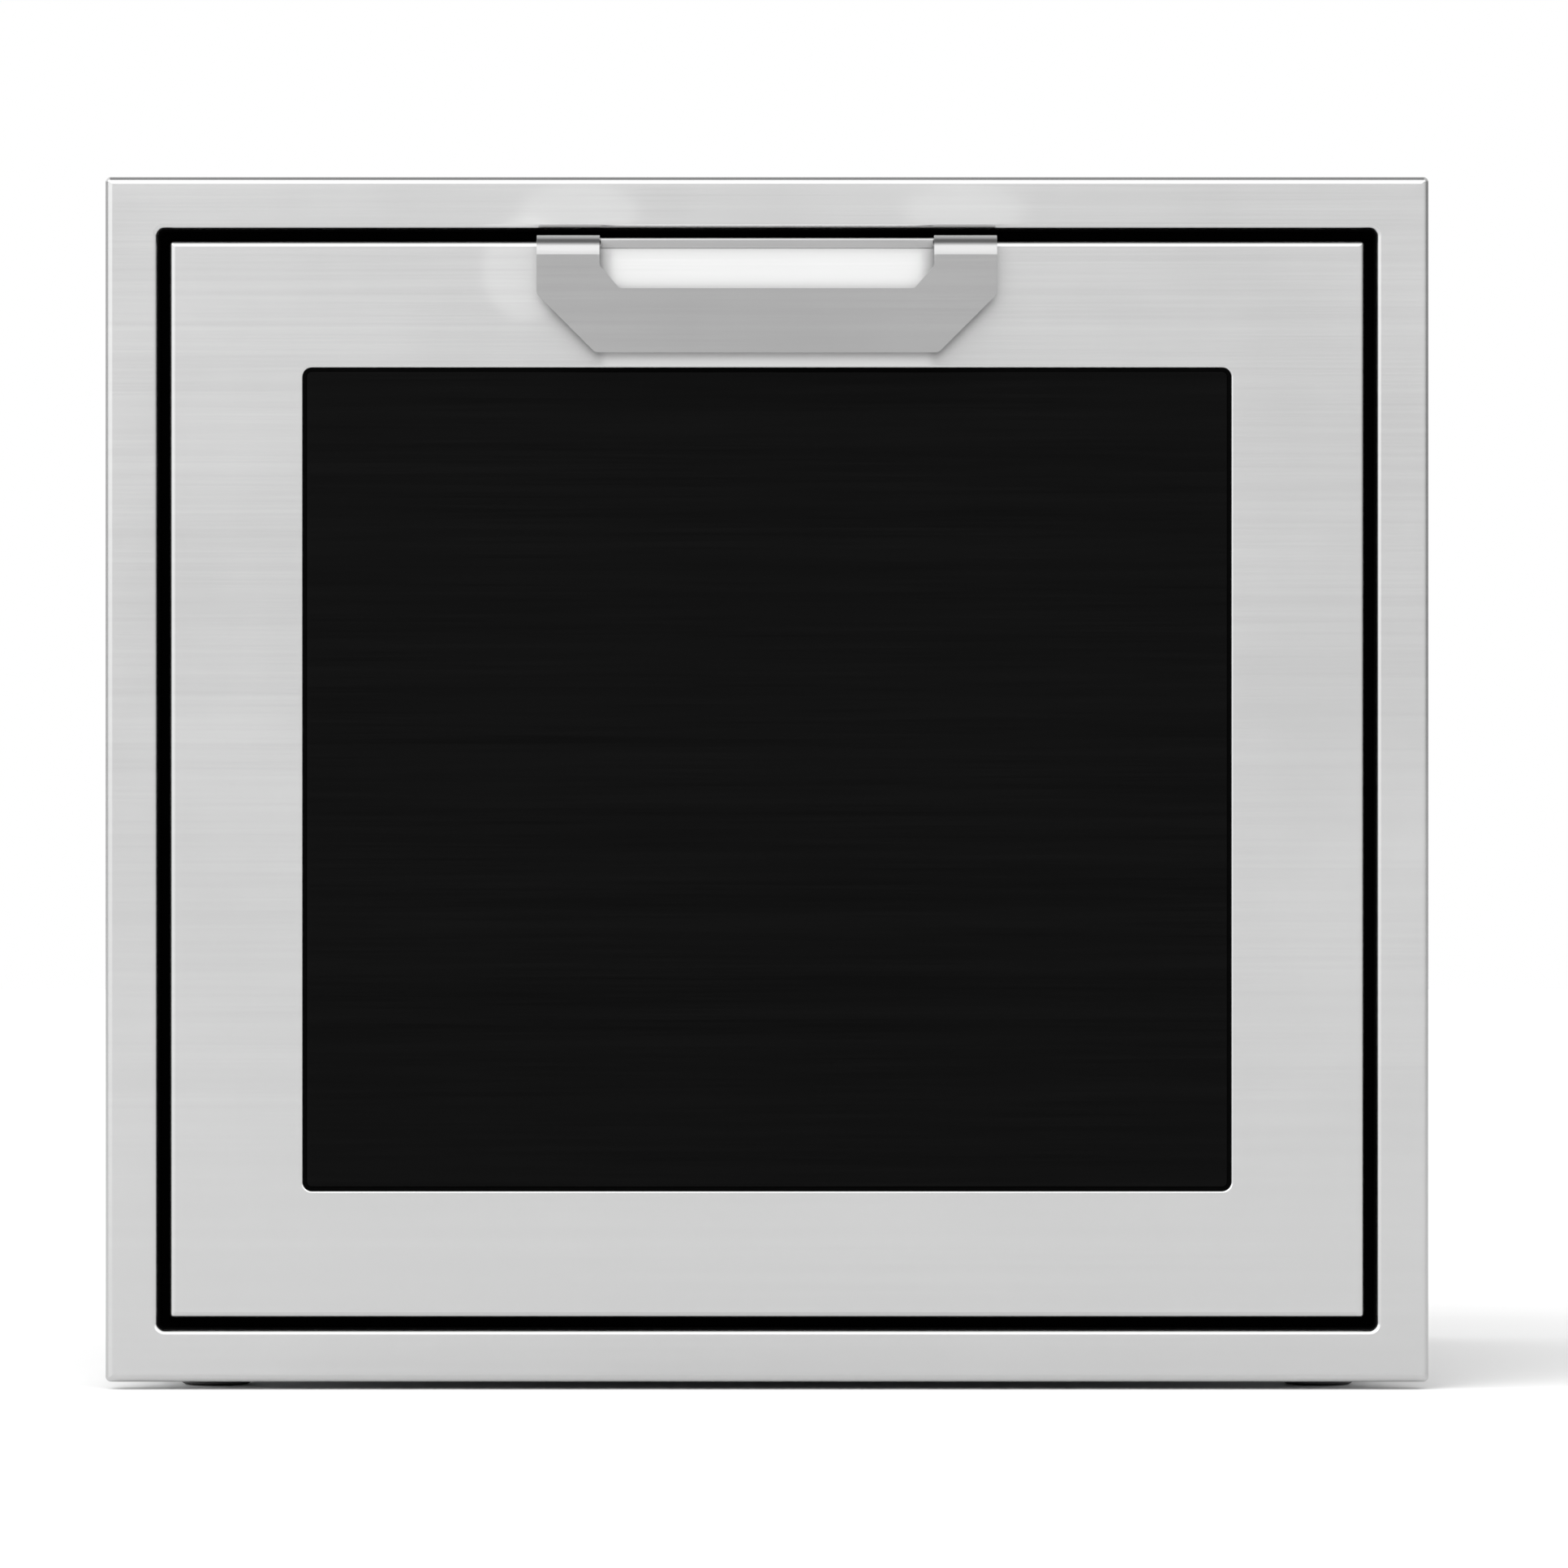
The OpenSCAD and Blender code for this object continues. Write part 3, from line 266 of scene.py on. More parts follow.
def link_finish(tree, shader, colour, roughness, height, depth):
    """Depth is how high the bump stands, in metres."""
    bump = add(tree, "Bump", {"Height": height, "Distance": depth, "Strength": 1.0})
    tree.links.new(colour, shader.inputs["Base Color"])
    tree.links.new(roughness, shader.inputs["Roughness"])
    tree.links.new(bump.outputs[0], shader.inputs["Normal"])


print("finish tools ready")

# %% [markdown]
# ## Brushed stainless, and the metals like it
# Stainless fronts are sanded along their width. The tone of the scratches differs by only about a
# hundredth, so the sheet looks even from afar, and its roughness carries the grain when light grazes it.
# The cabinet behind the front is the same steel, but duller. The zinc plated slides, the turned shafts and
# the bronze nuts are the same recipe with other colours and other grain directions. Oil on the gears and
# the screws is a thin clear coat, and it darkens them in patches.

# %% Metal finishes
def metal(name, dark, light, lines, roughness, depth=10 * micron, marks=9.0, mark_tone=0.97, **constants):
    """Lines are scratches per metre along x, y and z. Mark tone is the share of tone that marks leave."""
    material, tree, shader = new_finish(name, metallic=1.0, **constants)
    grain = place(tree, brushed_grain, Lines_per_metre=lines)
    cloud = place(tree, handling_marks, Scale=marks)
    clean = mix_colour(tree, grain["Streak"], dark, light)
    handled = mix_colour(tree, grain["Streak"], between(0, dark, mark_tone), between(0, light, mark_tone))
    colour = mix_colour(tree, cloud["Mask"], clean, handled)
    rough = total(tree, stretch(tree, grain["Streak"], *roughness), stretch(tree, cloud["Mask"], 0.0, 0.05))
    link_finish(tree, shader, colour, rough, grain["Height"], depth)
    return material


level_grain, top_grain, depth_grain = (6, 6, 900), (6, 900, 900), (900, 6, 900)
stainless = metal("stainless", 0.474, 0.486, level_grain, (0.19, 0.22), 1.2 * micron, mark_tone=0.996)
handle_steel = metal("handle_steel", 0.35, 0.36, level_grain, (0.14, 0.17), 1 * micron, mark_tone=0.995)
cabinet_steel = metal("cabinet_steel", 0.43, 0.47, level_grain, (0.27, 0.35), 2 * micron)
# painted shade: the top panel is the cabinet steel with a darker base, so that it does not mirror the bright
# tent above as white
painted_shade_top_steel = metal("painted_shade_top_steel", 0.31, 0.34, top_grain, (0.4, 0.48), 2 * micron,
                          mark_tone=0.96)
zinc = metal("zinc_plate", (0.50, 0.515, 0.53), (0.62, 0.63, 0.64), depth_grain, (0.28, 0.42),
             mark_tone=0.9)
screw_steel = metal("screw_steel", (0.42, 0.42, 0.40), (0.55, 0.55, 0.52), (300, 300, 300), (0.25, 0.4))
bearing_steel = metal("bearing_steel", (0.62, 0.62, 0.63), (0.72, 0.72, 0.73), (600, 600, 30), (0.12, 0.22))
thread_steel = metal("thread_steel", (0.22, 0.215, 0.20), (0.42, 0.42, 0.41), (250, 250, 500), (0.2, 0.4),
                     marks=40.0, mark_tone=0.6, Coat_Weight=0.3)
gear_steel = metal("gear_steel", 0.22, (0.36, 0.36, 0.37), (500, 500, 60), (0.25, 0.42),
                   marks=35.0, mark_tone=0.65, Coat_Weight=0.3)
chain_steel = metal("chain_steel", (0.12, 0.11, 0.10), (0.24, 0.23, 0.22), (400, 400, 200), (0.3, 0.5),
                    marks=30.0, mark_tone=0.6, Coat_Weight=0.2)
bronze = metal("machined_bronze", (0.50, 0.33, 0.15), (0.66, 0.46, 0.22), (60, 60, 900), (0.2, 0.35),
               mark_tone=0.85)
rotor_steel = metal("rotor_steel", 0.4, 0.56, (60, 60, 900), (0.22, 0.34), mark_tone=0.9)
key_chrome = metal("key_chrome", (0.68, 0.68, 0.69), (0.78, 0.78, 0.79), (200, 900, 200), (0.06, 0.14))
print("metals done")

# %% [markdown]
# ## The black inset panel
# The dark panel is brushed metal under a black finish. It has no shine of its own head-on, only the faint
# level grain. A metallic shader with a very dark base does that: a dielectric would always give back a few
# hundredths of the light and turn grey.

# %% Black panel finish
panel_black = metal("panel_black", 0.0036, 0.0048, (10, 10, 700), (0.32, 0.42), 3 * micron, mark_tone=0.95)
print("finish", panel_black.name)

# %% [markdown]
# ## Galvanised sheet
# Zinc freezes on steel in crystals a centimetre across, each turned another way, so each gives back the
# light a little differently. A Voronoi texture has just that look of flat cells with straight borders, and
# a noise bends the borders a little. The cell value drives the tone and the roughness together.

# %% Galvanised finish
def galvanised_sheet():
    material, tree, shader = new_finish("galvanised", metallic=1.0)
    where = object_place(tree)
    wander = {0: noise(tree, where, 60.0, 2.0)[1], "Scale": 0.006}
    nudge = add(tree, "VectorMath", wander, operation="SCALE").outputs[0]
    moved = add(tree, "VectorMath", {0: where, 1: nudge}, operation="ADD").outputs[0]
    cells = add(tree, "TexVoronoi", {"Vector": moved, "Scale": 85.0}).outputs["Color"]
    crystal = add(tree, "SeparateColor", {0: cells}).outputs[0]
    grain = place(tree, fine_texture, Scale=500.0)
    tone = mix_colour(tree, crystal, (0.46, 0.48, 0.49), (0.62, 0.64, 0.65))
    colour = mix_colour(tree, stretch(tree, grain["Grain"], 0.0, 0.35), tone, (0.50, 0.51, 0.51))
    link_finish(tree, shader, colour, stretch(tree, crystal, 0.5, 0.32), grain["Height"], 15 * micron)
    return material


galvanised = galvanised_sheet()
print("finish", galvanised.name)

# %% [markdown]
# ## Powder coat and enamel
# Powder coat is thick and slightly pebbled. It rubs through at the edges to bare steel, which is lighter
# and smoother. The wear mask mixes the colour towards steel and lifts the metallic value with it.

# %% Painted finishes
def painted(name, dark, light, texture, depth, roughness, wear=0.7, bare_steel=0.42):
    material, tree, shader = new_finish(name)
    grain = place(tree, fine_texture, Scale=texture)
    cloud = place(tree, handling_marks, Scale=7.0)
    rubbed = multiply(tree, place(tree, edge_wear, Radius=1.2 * mm, Breakup=260.0)["Mask"], wear)
    tone = mix_colour(tree, grain["Grain"], dark, light)
    wiped = mix_colour(tree, stretch(tree, cloud["Mask"], 0.0, 0.2), tone, between(dark, light, 1.4))
    colour = mix_colour(tree, rubbed, wiped, bare_steel)
    tree.links.new(rubbed, shader.inputs["Metallic"])
    link_finish(tree, shader, colour, stretch(tree, cloud["Mask"], *roughness), grain["Height"], depth)
    return material


frame_paint = painted("frame_paint", (0.105, 0.112, 0.12), (0.135, 0.142, 0.15), 700.0, 60 * micron,
                      (0.42, 0.55))
chassis_paint = painted("chassis_paint", (0.40, 0.41, 0.42), (0.46, 0.47, 0.48), 700.0, 50 * micron,
                        (0.4, 0.5))
ram_enamel = painted("ram_enamel", (0.25, 0.26, 0.27), (0.31, 0.32, 0.33), 450.0, 30 * micron,
                     (0.26, 0.42), wear=1.0)
motor_enamel = painted("motor_enamel", (0.035, 0.042, 0.05), (0.055, 0.062, 0.07), 500.0, 30 * micron,
                       (0.25, 0.4))
print("painted finishes done")

# %% [markdown]
# ## Moulded plastics and rubber
# A moulded part has the texture of its mould: fine, even and a little uneven in tone. Rubber is the same
# recipe, only duller. The edges of plastic don't show metal, so their wear is only a lighter tone.

# %% Moulded finishes
def moulded(name, dark, light, texture, depth, roughness, scuff=0.35, **constants):
    material, tree, shader = new_finish(name, **constants)
    grain = place(tree, fine_texture, Scale=texture)
    cloud = place(tree, handling_marks, Scale=12.0)
    edge = multiply(tree, place(tree, edge_wear, Radius=1 * mm, Breakup=300.0)["Mask"], scuff)
    tone = mix_colour(tree, grain["Grain"], dark, light)
    colour = mix_colour(tree, edge, tone, between(dark, light, 3.0))
    link_finish(tree, shader, colour, stretch(tree, cloud["Mask"], *roughness), grain["Height"], depth)
    return material


bin_plastic = moulded("bin_plastic", (0.165, 0.172, 0.182), (0.195, 0.203, 0.213), 1100.0, 30 * micron,
                      (0.4, 0.52))
foot_plastic = moulded("foot_plastic", 0.03, 0.05, 900.0, 30 * micron, (0.5, 0.62))
# partly painted shadow: a near-zero colour and no specular make this rubber blacker than real rubber, so the
# gasket and the panel's strip read as shade
seal_rubber = moulded("seal_rubber", 0.001, 0.0018, 1200.0, 30 * micron, (0.8, 0.95), scuff=0.05,
                      Specular_IOR_Level=0.0)
belt_rubber = moulded("belt_rubber", 0.018, (0.035, 0.035, 0.034), 800.0, 40 * micron, (0.7, 0.85))
nylon = moulded("natural_nylon", (0.70, 0.68, 0.60), (0.78, 0.76, 0.69), 600.0, 20 * micron, (0.35, 0.45),
                Subsurface_Weight=0.1)
black_phenolic = moulded("black_phenolic", (0.022, 0.022, 0.024), (0.036, 0.036, 0.038), 900.0, 20 * micron,
                         (0.3, 0.42))
red_phenolic = moulded("red_phenolic", (0.17, 0.02, 0.014), (0.24, 0.03, 0.02), 900.0, 20 * micron,
                       (0.35, 0.48))
blue_plastic = moulded("blue_plastic", (0.02, 0.09, 0.33), (0.03, 0.12, 0.40), 900.0, 10 * micron,
                       (0.22, 0.32))
green_plastic = moulded("green_plastic", (0.025, 0.27, 0.075), (0.04, 0.34, 0.10), 900.0, 10 * micron,
                        (0.2, 0.3))
red_plastic = moulded("red_plastic", (0.42, 0.022, 0.014), (0.52, 0.035, 0.02), 900.0, 10 * micron,
                      (0.2, 0.3))
print("moulded finishes done")

# %% [markdown]
# ## Cast alloy, and the motor's core
# Sand-cast alloy is bright, matt and pitted. The motor's core is two things in one solid: a stack of thin
# steel sheets, and the copper windings that stand out above and below it. Height alone tells them apart.

# %% Cast and wound finishes
def cast_alloy_finish():
    material, tree, shader = new_finish("cast_alloy", metallic=1.0)
    grain = place(tree, fine_texture, Scale=450.0)
    tone = mix_colour(tree, grain["Grain"], 0.48, (0.64, 0.64, 0.63))
    link_finish(tree, shader, tone, stretch(tree, grain["Grain"], 0.6, 0.42), grain["Height"], 120 * micron)
    return material


def motor_core_finish(node, head=8 * mm):
    """Head is how far the windings stand out at each end."""
    low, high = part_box(node)
    material, tree, shader = new_finish("motor_core", metallic=1.0)
    height = add(tree, "SeparateXYZ", {0: object_place(tree)}).outputs[2]
    above = add(tree, "Math", {0: height, 1: low.z + head}, operation="GREATER_THAN").outputs[0]
    below = add(tree, "Math", {0: height, 1: high.z - head}, operation="LESS_THAN").outputs[0]
    sheets = place(tree, brushed_grain, Lines_per_metre=(5, 5, 1800))
    wires = place(tree, brushed_grain, Lines_per_metre=(300, 300, 900))
    copper = mix_colour(tree, wires["Streak"], (0.30, 0.12, 0.04), (0.62, 0.29, 0.12))
    steel = mix_colour(tree, sheets["Streak"], (0.20, 0.20, 0.21), (0.38, 0.38, 0.39))
    colour = mix_colour(tree, multiply(tree, above, below), copper, steel)
    rough = stretch(tree, wires["Streak"], 0.3, 0.45)
    link_finish(tree, shader, colour, rough, wires["Height"], 100 * micron)
    return material


cast_alloy, motor_core = cast_alloy_finish(), motor_core_finish("stator_core")
print("finishes", cast_alloy.name, motor_core.name)

# %% [markdown]
# ## Outlines with round corners
# Folded sheet, pressed plate and moulded plastic never have sharp corners. `soften` puts an arc in the
# corners of any outline, and `round_rectangle` is the commonest outline of all. Every rectangle drawn by
# it has the same number of points, whatever its size, and that is what lets them be joined later.

# %% Outlines
def soften(corners, steps=4):
    """Corners are (a, b, radius). A corner with a radius becomes an arc that meets both of its sides."""
    points = []
    for i, (a, b, radius) in enumerate(corners):
        here = Vector((a, b))
        if not radius:
            points.append(here)
            continue
        back = (Vector(corners[i - 1][:2]) - here).normalized()
        ahead = (Vector(corners[(i + 1) % len(corners)][:2]) - here).normalized()
        half = back.angle(ahead) / 2
        centre = here + (back + ahead).normalized() * radius / math.sin(half)
        start = here + back * radius / math.tan(half) - centre
        end = here + ahead * radius / math.tan(half) - centre
        first = math.atan2(start.y, start.x)
        turn = (math.atan2(end.y, end.x) - first + math.pi) % (2 * math.pi) - math.pi
        for k in range(steps + 1):
            angle = first + turn * k / steps
            points.append(centre + radius * Vector((math.cos(angle), math.sin(angle))))
    return points


def round_rectangle(low, high, radius, steps=6):
    """A rectangle from corner to corner with round corners, anticlockwise."""
    corners = [(high[0] - radius, high[1] - radius), (low[0] + radius, high[1] - radius),
               (low[0] + radius, low[1] + radius), (high[0] - radius, low[1] + radius)]
    return [(cx + radius * math.cos(math.radians(90 * (quarter + k / steps))),
             cy + radius * math.sin(math.radians(90 * (quarter + k / steps))))
            for quarter, (cx, cy) in enumerate(corners) for k in range(steps + 1)]


def inset(rectangle, by, least=0.3 * mm):
    low, high, radius = rectangle
    return (low[0] + by, low[1] + by), (high[0] - by, high[1] - by), max(radius - by, least)


def front_ring(rectangle, by, y):
    return [Vector((u, y, v)) for u, v in round_rectangle(*inset(rectangle, by))]


def level_ring(rectangle, by, z):
    return [Vector((u, v, z)) for u, v in round_rectangle(*inset(rectangle, by))]


print("a round rectangle has", len(round_rectangle((0, 0), (1, 1), 0.1)), "points")

# %% [markdown]
# ## Lofted and turned shapes
# Nearly every piece here is either folded sheet or turned metal. Folded sheet that runs round a rectangle
# is a set of rings, one for each point of the sheet's section, and `loft` joins them with clean quads.
# Turned pieces are rings too, round an axis, and `turned` reads a lathe's profile in millimetres.

# %% Lofted and turned shapes
def loft(bm, rings, closed=False):
    """Joins rings of equal length with quads. An open loft gets a cap at each end."""
    rows = [[bm.verts.new(p) for p in ring] for ring in rings]
    pairs = list(zip(rows, rows[1:])) + ([(rows[-1], rows[0])] if closed else [])
    for lower, upper in pairs:
        for i in range(len(lower)):
            j = (i + 1) % len(lower)
            bm.faces.new((lower[i], lower[j], upper[j], upper[i]))
    if not closed:
        bm.faces.new(rows[0][::-1])
        bm.faces.new(rows[-1])


def facing(point, axis):
    """A place whose own Z points along an axis."""
    return Matrix.Translation(point) @ Vector(axis).to_track_quat("Z", "Y").to_matrix().to_4x4()


def hexagonal(radius, angle):
    return radius * math.cos(math.pi / 6) / math.cos((angle % (math.pi / 3)) - math.pi / 6)


def turned(bm, where, profile, count=32, closed=False, unit=mm):
    """Turns a profile of (radius, along) round a place's Z axis. A third value makes that ring a hexagon."""
    angles = [2 * math.pi * i / count for i in range(count)]
    rings = []
    for radius, along, *hexagon in profile:
        reach = [hexagonal(radius, a) if hexagon else radius for a in angles]
        ring = [unit * Vector((r * math.cos(a), r * math.sin(a), along)) for r, a in zip(reach, angles)]
        rings.append([where @ point for point in ring])
    loft(bm, rings, closed)


print("shape tools ready")

# %% [markdown]
# ## Finishing a piece
# Every piece ends in the same way. Its mesh is shaded smooth with sharp folds kept, the CAD node that it
# replaces is hidden, it is parented to the body that it rides on, and it gets its finish.

# %% Handing over
def finish_piece(name, bm, material, node, sharp=35, bevel=0.0):
    bmesh.ops.recalc_face_normals(bm, faces=bm.faces)
    mesh = bpy.data.meshes.new(name)
    bm.to_mesh(mesh)
    bm.free()
    mesh.materials.append(material)
    mesh.shade_smooth()
    mesh.set_sharp_from_angle(angle=math.radians(sharp))
    piece = bpy.data.objects.new(name, mesh)
    scene.collection.objects.link(piece)
    if bevel:
        edges = piece.modifiers.new("edges", "BEVEL")
        edges.width, edges.segments = bevel, 3
        edges.limit_method, edges.angle_limit = "ANGLE", math.radians(40)
    even = piece.modifiers.new("even_shading", "WEIGHTED_NORMAL")
    even.keep_sharp = True
    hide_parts(node)
    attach(piece, body_of[node])
    print(name, len(mesh.vertices), "vertices, rides on", body_of[node])
    return piece


def lofted_piece(name, rings, material, node, closed=False, sharp=35):
    bm = bmesh.new()
    loft(bm, rings, closed)
    return finish_piece(name, bm, material, node, sharp)


def front_outline(node, radius, grow=0.0):
    """A node seen from the front, as two corners and a corner radius."""
    low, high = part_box(node)
    return (low.x - grow, low.z - grow), (high.x + grow, high.z + grow), radius


print("hand-over tools ready")

# %% [markdown]
# ## Trim frame
# The frame is one sheet, folded: a face that shows, a skirt round the outside with a hem turned in behind
# it, and a wall that runs back round the opening. Its section has ten corners, and the bends have the
# radii that a press brake leaves. The section is carried round two rectangles, the outer edge and the
# opening, so both keep their own corner radius.

# %% Trim frame
def carried_round(section, outer, inner, span):
    """A closed section of (distance in from the outer edge, depth) points, carried round two rectangles."""
    rings = []
    for across, depth in section:
        if across < span / 2:
            rings.append(front_ring(outer, across, front_y + depth))
        else:
            rings.append(front_ring(inner, across - span, front_y + depth))
    return rings


sheet, flange, hem = 1.5 * mm, 30 * mm, 10 * mm
skirt_depth, wall_depth = 19 * mm, frame_high.y - frame_low.y
opening = front_outline("front_gasket", 4 * mm, grow=0.3 * mm)
outer_edge = front_outline("trim_frame", 3 * mm)
frame_section = soften([
    (hem, skirt_depth, 0), (0, skirt_depth, 1.8 * mm), (0, 0, 4.4 * mm), (flange, 0, 2.8 * mm),
    (flange, wall_depth, 0), (flange - sheet, wall_depth, 0), (flange - sheet, sheet, 1.3 * mm),
    (sheet, sheet, 2.9 * mm), (sheet, skirt_depth - sheet, 0.3 * mm), (hem, skirt_depth - sheet, 0),
], steps=8)
frame_rings = carried_round(frame_section, outer_edge, opening, flange)
lofted_piece("folded_trim_frame", frame_rings, stainless, "trim_frame", closed=True)

# %% [markdown]
# ## Drawer front skin
# The drawer's face is a shallow tray pressed from one sheet, with a window for the black panel. It is made
# as the frame is: the section goes from the tray's wall over the face to the window's cut edge and back
# inside.

# %% Drawer front skin
skin_low, skin_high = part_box("drawer_front_skin")
panel_lap = 14 * mm
face = front_outline("drawer_front_skin", 2 * mm)
window = front_outline("dark_panel", 5 * mm, grow=-panel_lap)
face_span, wall = window[0][0] - face[0][0], skin_high.y - skin_low.y
skin_section = soften([
    (0, wall, 0), (0, 0, 3.2 * mm), (face_span, 0, 1.4 * mm), (face_span, sheet, 0),
    (sheet, sheet, 1.7 * mm), (sheet, wall, 0),
], steps=8)
skin_rings = carried_round(skin_section, face, window, face_span)
lofted_piece("pressed_front_skin", skin_rings, stainless, "drawer_front_skin", closed=True)

# %% [markdown]
# ## Black inset panel
# The plate sits behind the window and has a raised field that comes forward into it. A narrow groove is
# left all round the field, and a near-black strip in it is painted shadow: it stands for the shade along
# the window's edge. Nine rings are enough for the plate, each given by how far in it is and how deep it
# lies.

# %% Black inset panel
panel_low, panel_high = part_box("dark_panel")
plate = front_outline("dark_panel", 2 * mm)
chamfer, groove, nick = 0.4 * mm, 2.2 * mm, 0.3 * mm
field_y = panel_low.y - 1 * mm
on_plate = [(chamfer, panel_high.y), (0, panel_high.y - chamfer), (0, panel_low.y + chamfer),
            (chamfer, panel_low.y)]
on_field = [(groove - nick, panel_low.y), (groove, panel_low.y - nick), (groove, field_y + chamfer),
            (groove + chamfer * 0.3, field_y + chamfer * 0.3), (groove + chamfer, field_y)]
plate_rings = [front_ring(plate, by, y) for by, y in on_plate]
field_rings = [front_ring(window, by, y) for by, y in on_field]
lofted_piece("black_inset_panel", plate_rings + field_rings, panel_black, "dark_panel")

# painted shadow: a near-black strip in the groove stands for the shade along the window's edge
shadow_strip_outer, shadow_strip_inner = 0.1 * mm, groove - 0.2 * mm
shadow_strip_front, shadow_strip_back = panel_low.y - 0.5 * mm, panel_low.y + 0.2 * mm
shadow_strip_rings = [front_ring(window, by, y) for by, y in (
    (shadow_strip_outer, shadow_strip_back), (shadow_strip_outer, shadow_strip_front), (shadow_strip_inner, shadow_strip_front), (shadow_strip_inner, shadow_strip_back))]
lofted_piece("panel_edge_shadow_strip", shadow_strip_rings, seal_rubber, "dark_panel", closed=True)

# %% [markdown]
# ## How the handle is bent
# The handle starts as a flat blank and is bent over a former, so it is made in the same order here. This
# cell works out the blank's length, with the bend measured along the middle of the plate. `bent` says
# where any point of the blank ends up, from its distance along the plate.

# %% Handle bend
handle_low, handle_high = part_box("handle")
plate_t, bend_r, handle_half, strap_w = 2 * mm, 12 * mm, handle_high.x, 36 * mm
mid_r = bend_r - plate_t / 2
bend_start = handle_high.z - bend_r - handle_low.z
bend_end = bend_start + mid_r * math.pi / 2
face_line = bend_end + (front_y - handle_low.y - bend_r)
blank_end = face_line + handle_high.y - front_y


def bent(x, along):
    """Where a point of the blank lies once it is bent. Along is measured from the handle's lower edge."""
    y, z = handle_low.y + plate_t / 2, handle_low.z + along
    if along > bend_end:
        y, z = handle_low.y + bend_r + along - bend_end, handle_high.z - plate_t / 2
    elif along > bend_start:
        turn = (along - bend_start) / mid_r
        y = handle_low.y + bend_r - mid_r * math.cos(turn)
        z = handle_high.z - bend_r + mid_r * math.sin(turn)
    return Vector((x, y, z))


print("blank", round(blank_end / mm, 1), "mm long")

# %% [markdown]
# ## Bent handle
# The blank has a finger opening, cut-off lower corners and four screw holes. It is filled as a flat
# outline with holes, cut into strips where the bend will be, and then carried over the bend. Solidify
# gives the plate its thickness, and a small bevel breaks its edges.

# %% Bent handle
finger_h, corner_cut, finger_cut, hole_r = 30.8 * mm, 33.5 * mm, 11.5 * mm, 3.9 * mm
screw_places = [share * 2 * handle_half for share in (-0.42, -0.15, 0.15, 0.42)]


def outline(bm, points):
    verts = [bm.verts.new((x, y, 0)) for x, y in points]
    return [bm.edges.new((verts[i - 1], verts[i])) for i in range(len(verts))]


def handle_blank(strips=14):
    w, f = handle_half, handle_half - strap_w
    finger_low = handle_high.z - finger_h - handle_low.z
    finger_side = finger_low + finger_cut + 1.5 * mm
    bm = bmesh.new()
    edges = outline(bm, soften([
        (w - corner_cut, 0, 3 * mm), (w, corner_cut, 3 * mm), (w, blank_end, 1 * mm),
        (-w, blank_end, 1 * mm), (-w, corner_cut, 3 * mm), (-w + corner_cut, 0, 3 * mm)]))
    edges += outline(bm, soften([
        (f - finger_cut, finger_low, 2 * mm), (f, finger_side, 3 * mm), (f, face_line, 0),
        (-f, face_line, 0), (-f, finger_side, 3 * mm), (-f + finger_cut, finger_low, 2 * mm)]))
    for x in screw_places:
        hole = Vector((x, face_line + (blank_end - face_line) / 2))
        turns = [math.radians(20 * i) for i in range(18)]
        edges += outline(bm, [hole + hole_r * Vector((math.cos(a), math.sin(a))) for a in turns])
    bmesh.ops.triangle_fill(bm, edges=edges, use_beauty=True, normal=(0, 0, 1))
    for k in range(strips + 1):
        row = bend_start + (bend_end - bend_start) * k / strips
        everything = bm.verts[:] + bm.edges[:] + bm.faces[:]
        bmesh.ops.bisect_plane(bm, geom=everything, plane_co=(0, row, 0), plane_no=(0, 1, 0), dist=1e-7)
    for vert in bm.verts:
        vert.co = bent(vert.co.x, vert.co.y)
    return bm


handle = finish_piece("bent_plate_handle", handle_blank(), handle_steel, "handle", bevel=0.35 * mm)
thick = handle.modifiers.new("thickness", "SOLIDIFY")
thick.thickness, thick.offset, thick.use_even_offset = plate_t, 0, True
handle.modifiers.move(len(handle.modifiers) - 1, 0)

# %% [markdown]
# ## The lip between the straps
# Between the straps the plate's front edge is turned down against the drawer, so that fingers meet a round
# edge. It is part of the handle's plate, and is made as its own short folded strip with a rounded section.

# %% Handle lip
lip_h, lip_half = 6.3 * mm, handle_half - strap_w - 0.2 * mm
lip_section = soften([
    (-plate_t, -lip_h, 0.5 * mm), (-plate_t, 0, 1.5 * mm), (0, 0, 0), (0, -lip_h, 0.5 * mm)])
lip_ends = [[Vector((x, front_y + y, handle_high.z + z)) for y, z in lip_section]
            for x in (-lip_half, lip_half)]
lofted_piece("handle_lip", lip_ends, handle_steel, "handle")

# %% [markdown]
# ## Bulb gasket, and painted shade in the gap
# A soft seal runs round the opening, and the drawer front closes against it. Its section is a flat foot
# with a bulb on it, and a thin lip that lines the opening's wall. The lip and the seal's unlit black are
# painted shadow: they stand for the shade in the gap, so the gap looks black from the front. The bulb is an
# arc by formula, and the section is carried round the opening.

# %% Bulb gasket
gasket_low, gasket_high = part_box("front_gasket")
foot_in, foot_wide, foot_t = 0.3 * mm, 15.7 * mm, 1.7 * mm
bulb_r, bulb_at, bulb_rise = 3.2 * mm, 8 * mm, gasket_high.y - gasket_low.y - 3.2 * mm
# painted shadow: this lip lines the opening's wall only to black out the steel there, standing for the shade
# in the gap
lining_t, lining_long = 0.8 * mm, 25 * mm
foot = [(foot_in, 0), (foot_wide, 0), (foot_wide, foot_t)]
bulb = [(bulb_at + bulb_r * math.cos(a), bulb_rise + bulb_r * math.sin(a))
        for a in (math.radians(-25 + 230 * i / 16) for i in range(17))]
gap_shade_lining = [(foot_in + lining_t, foot_t), (foot_in + lining_t, lining_long), (foot_in, lining_long)]
gasket_and_shade_rings = [front_ring(opening, across, gasket_high.y - height)
                for across, height in foot + bulb + gap_shade_lining]
lofted_piece("bulb_gasket_and_gap_shade", gasket_and_shade_rings, seal_rubber, "front_gasket", closed=True)

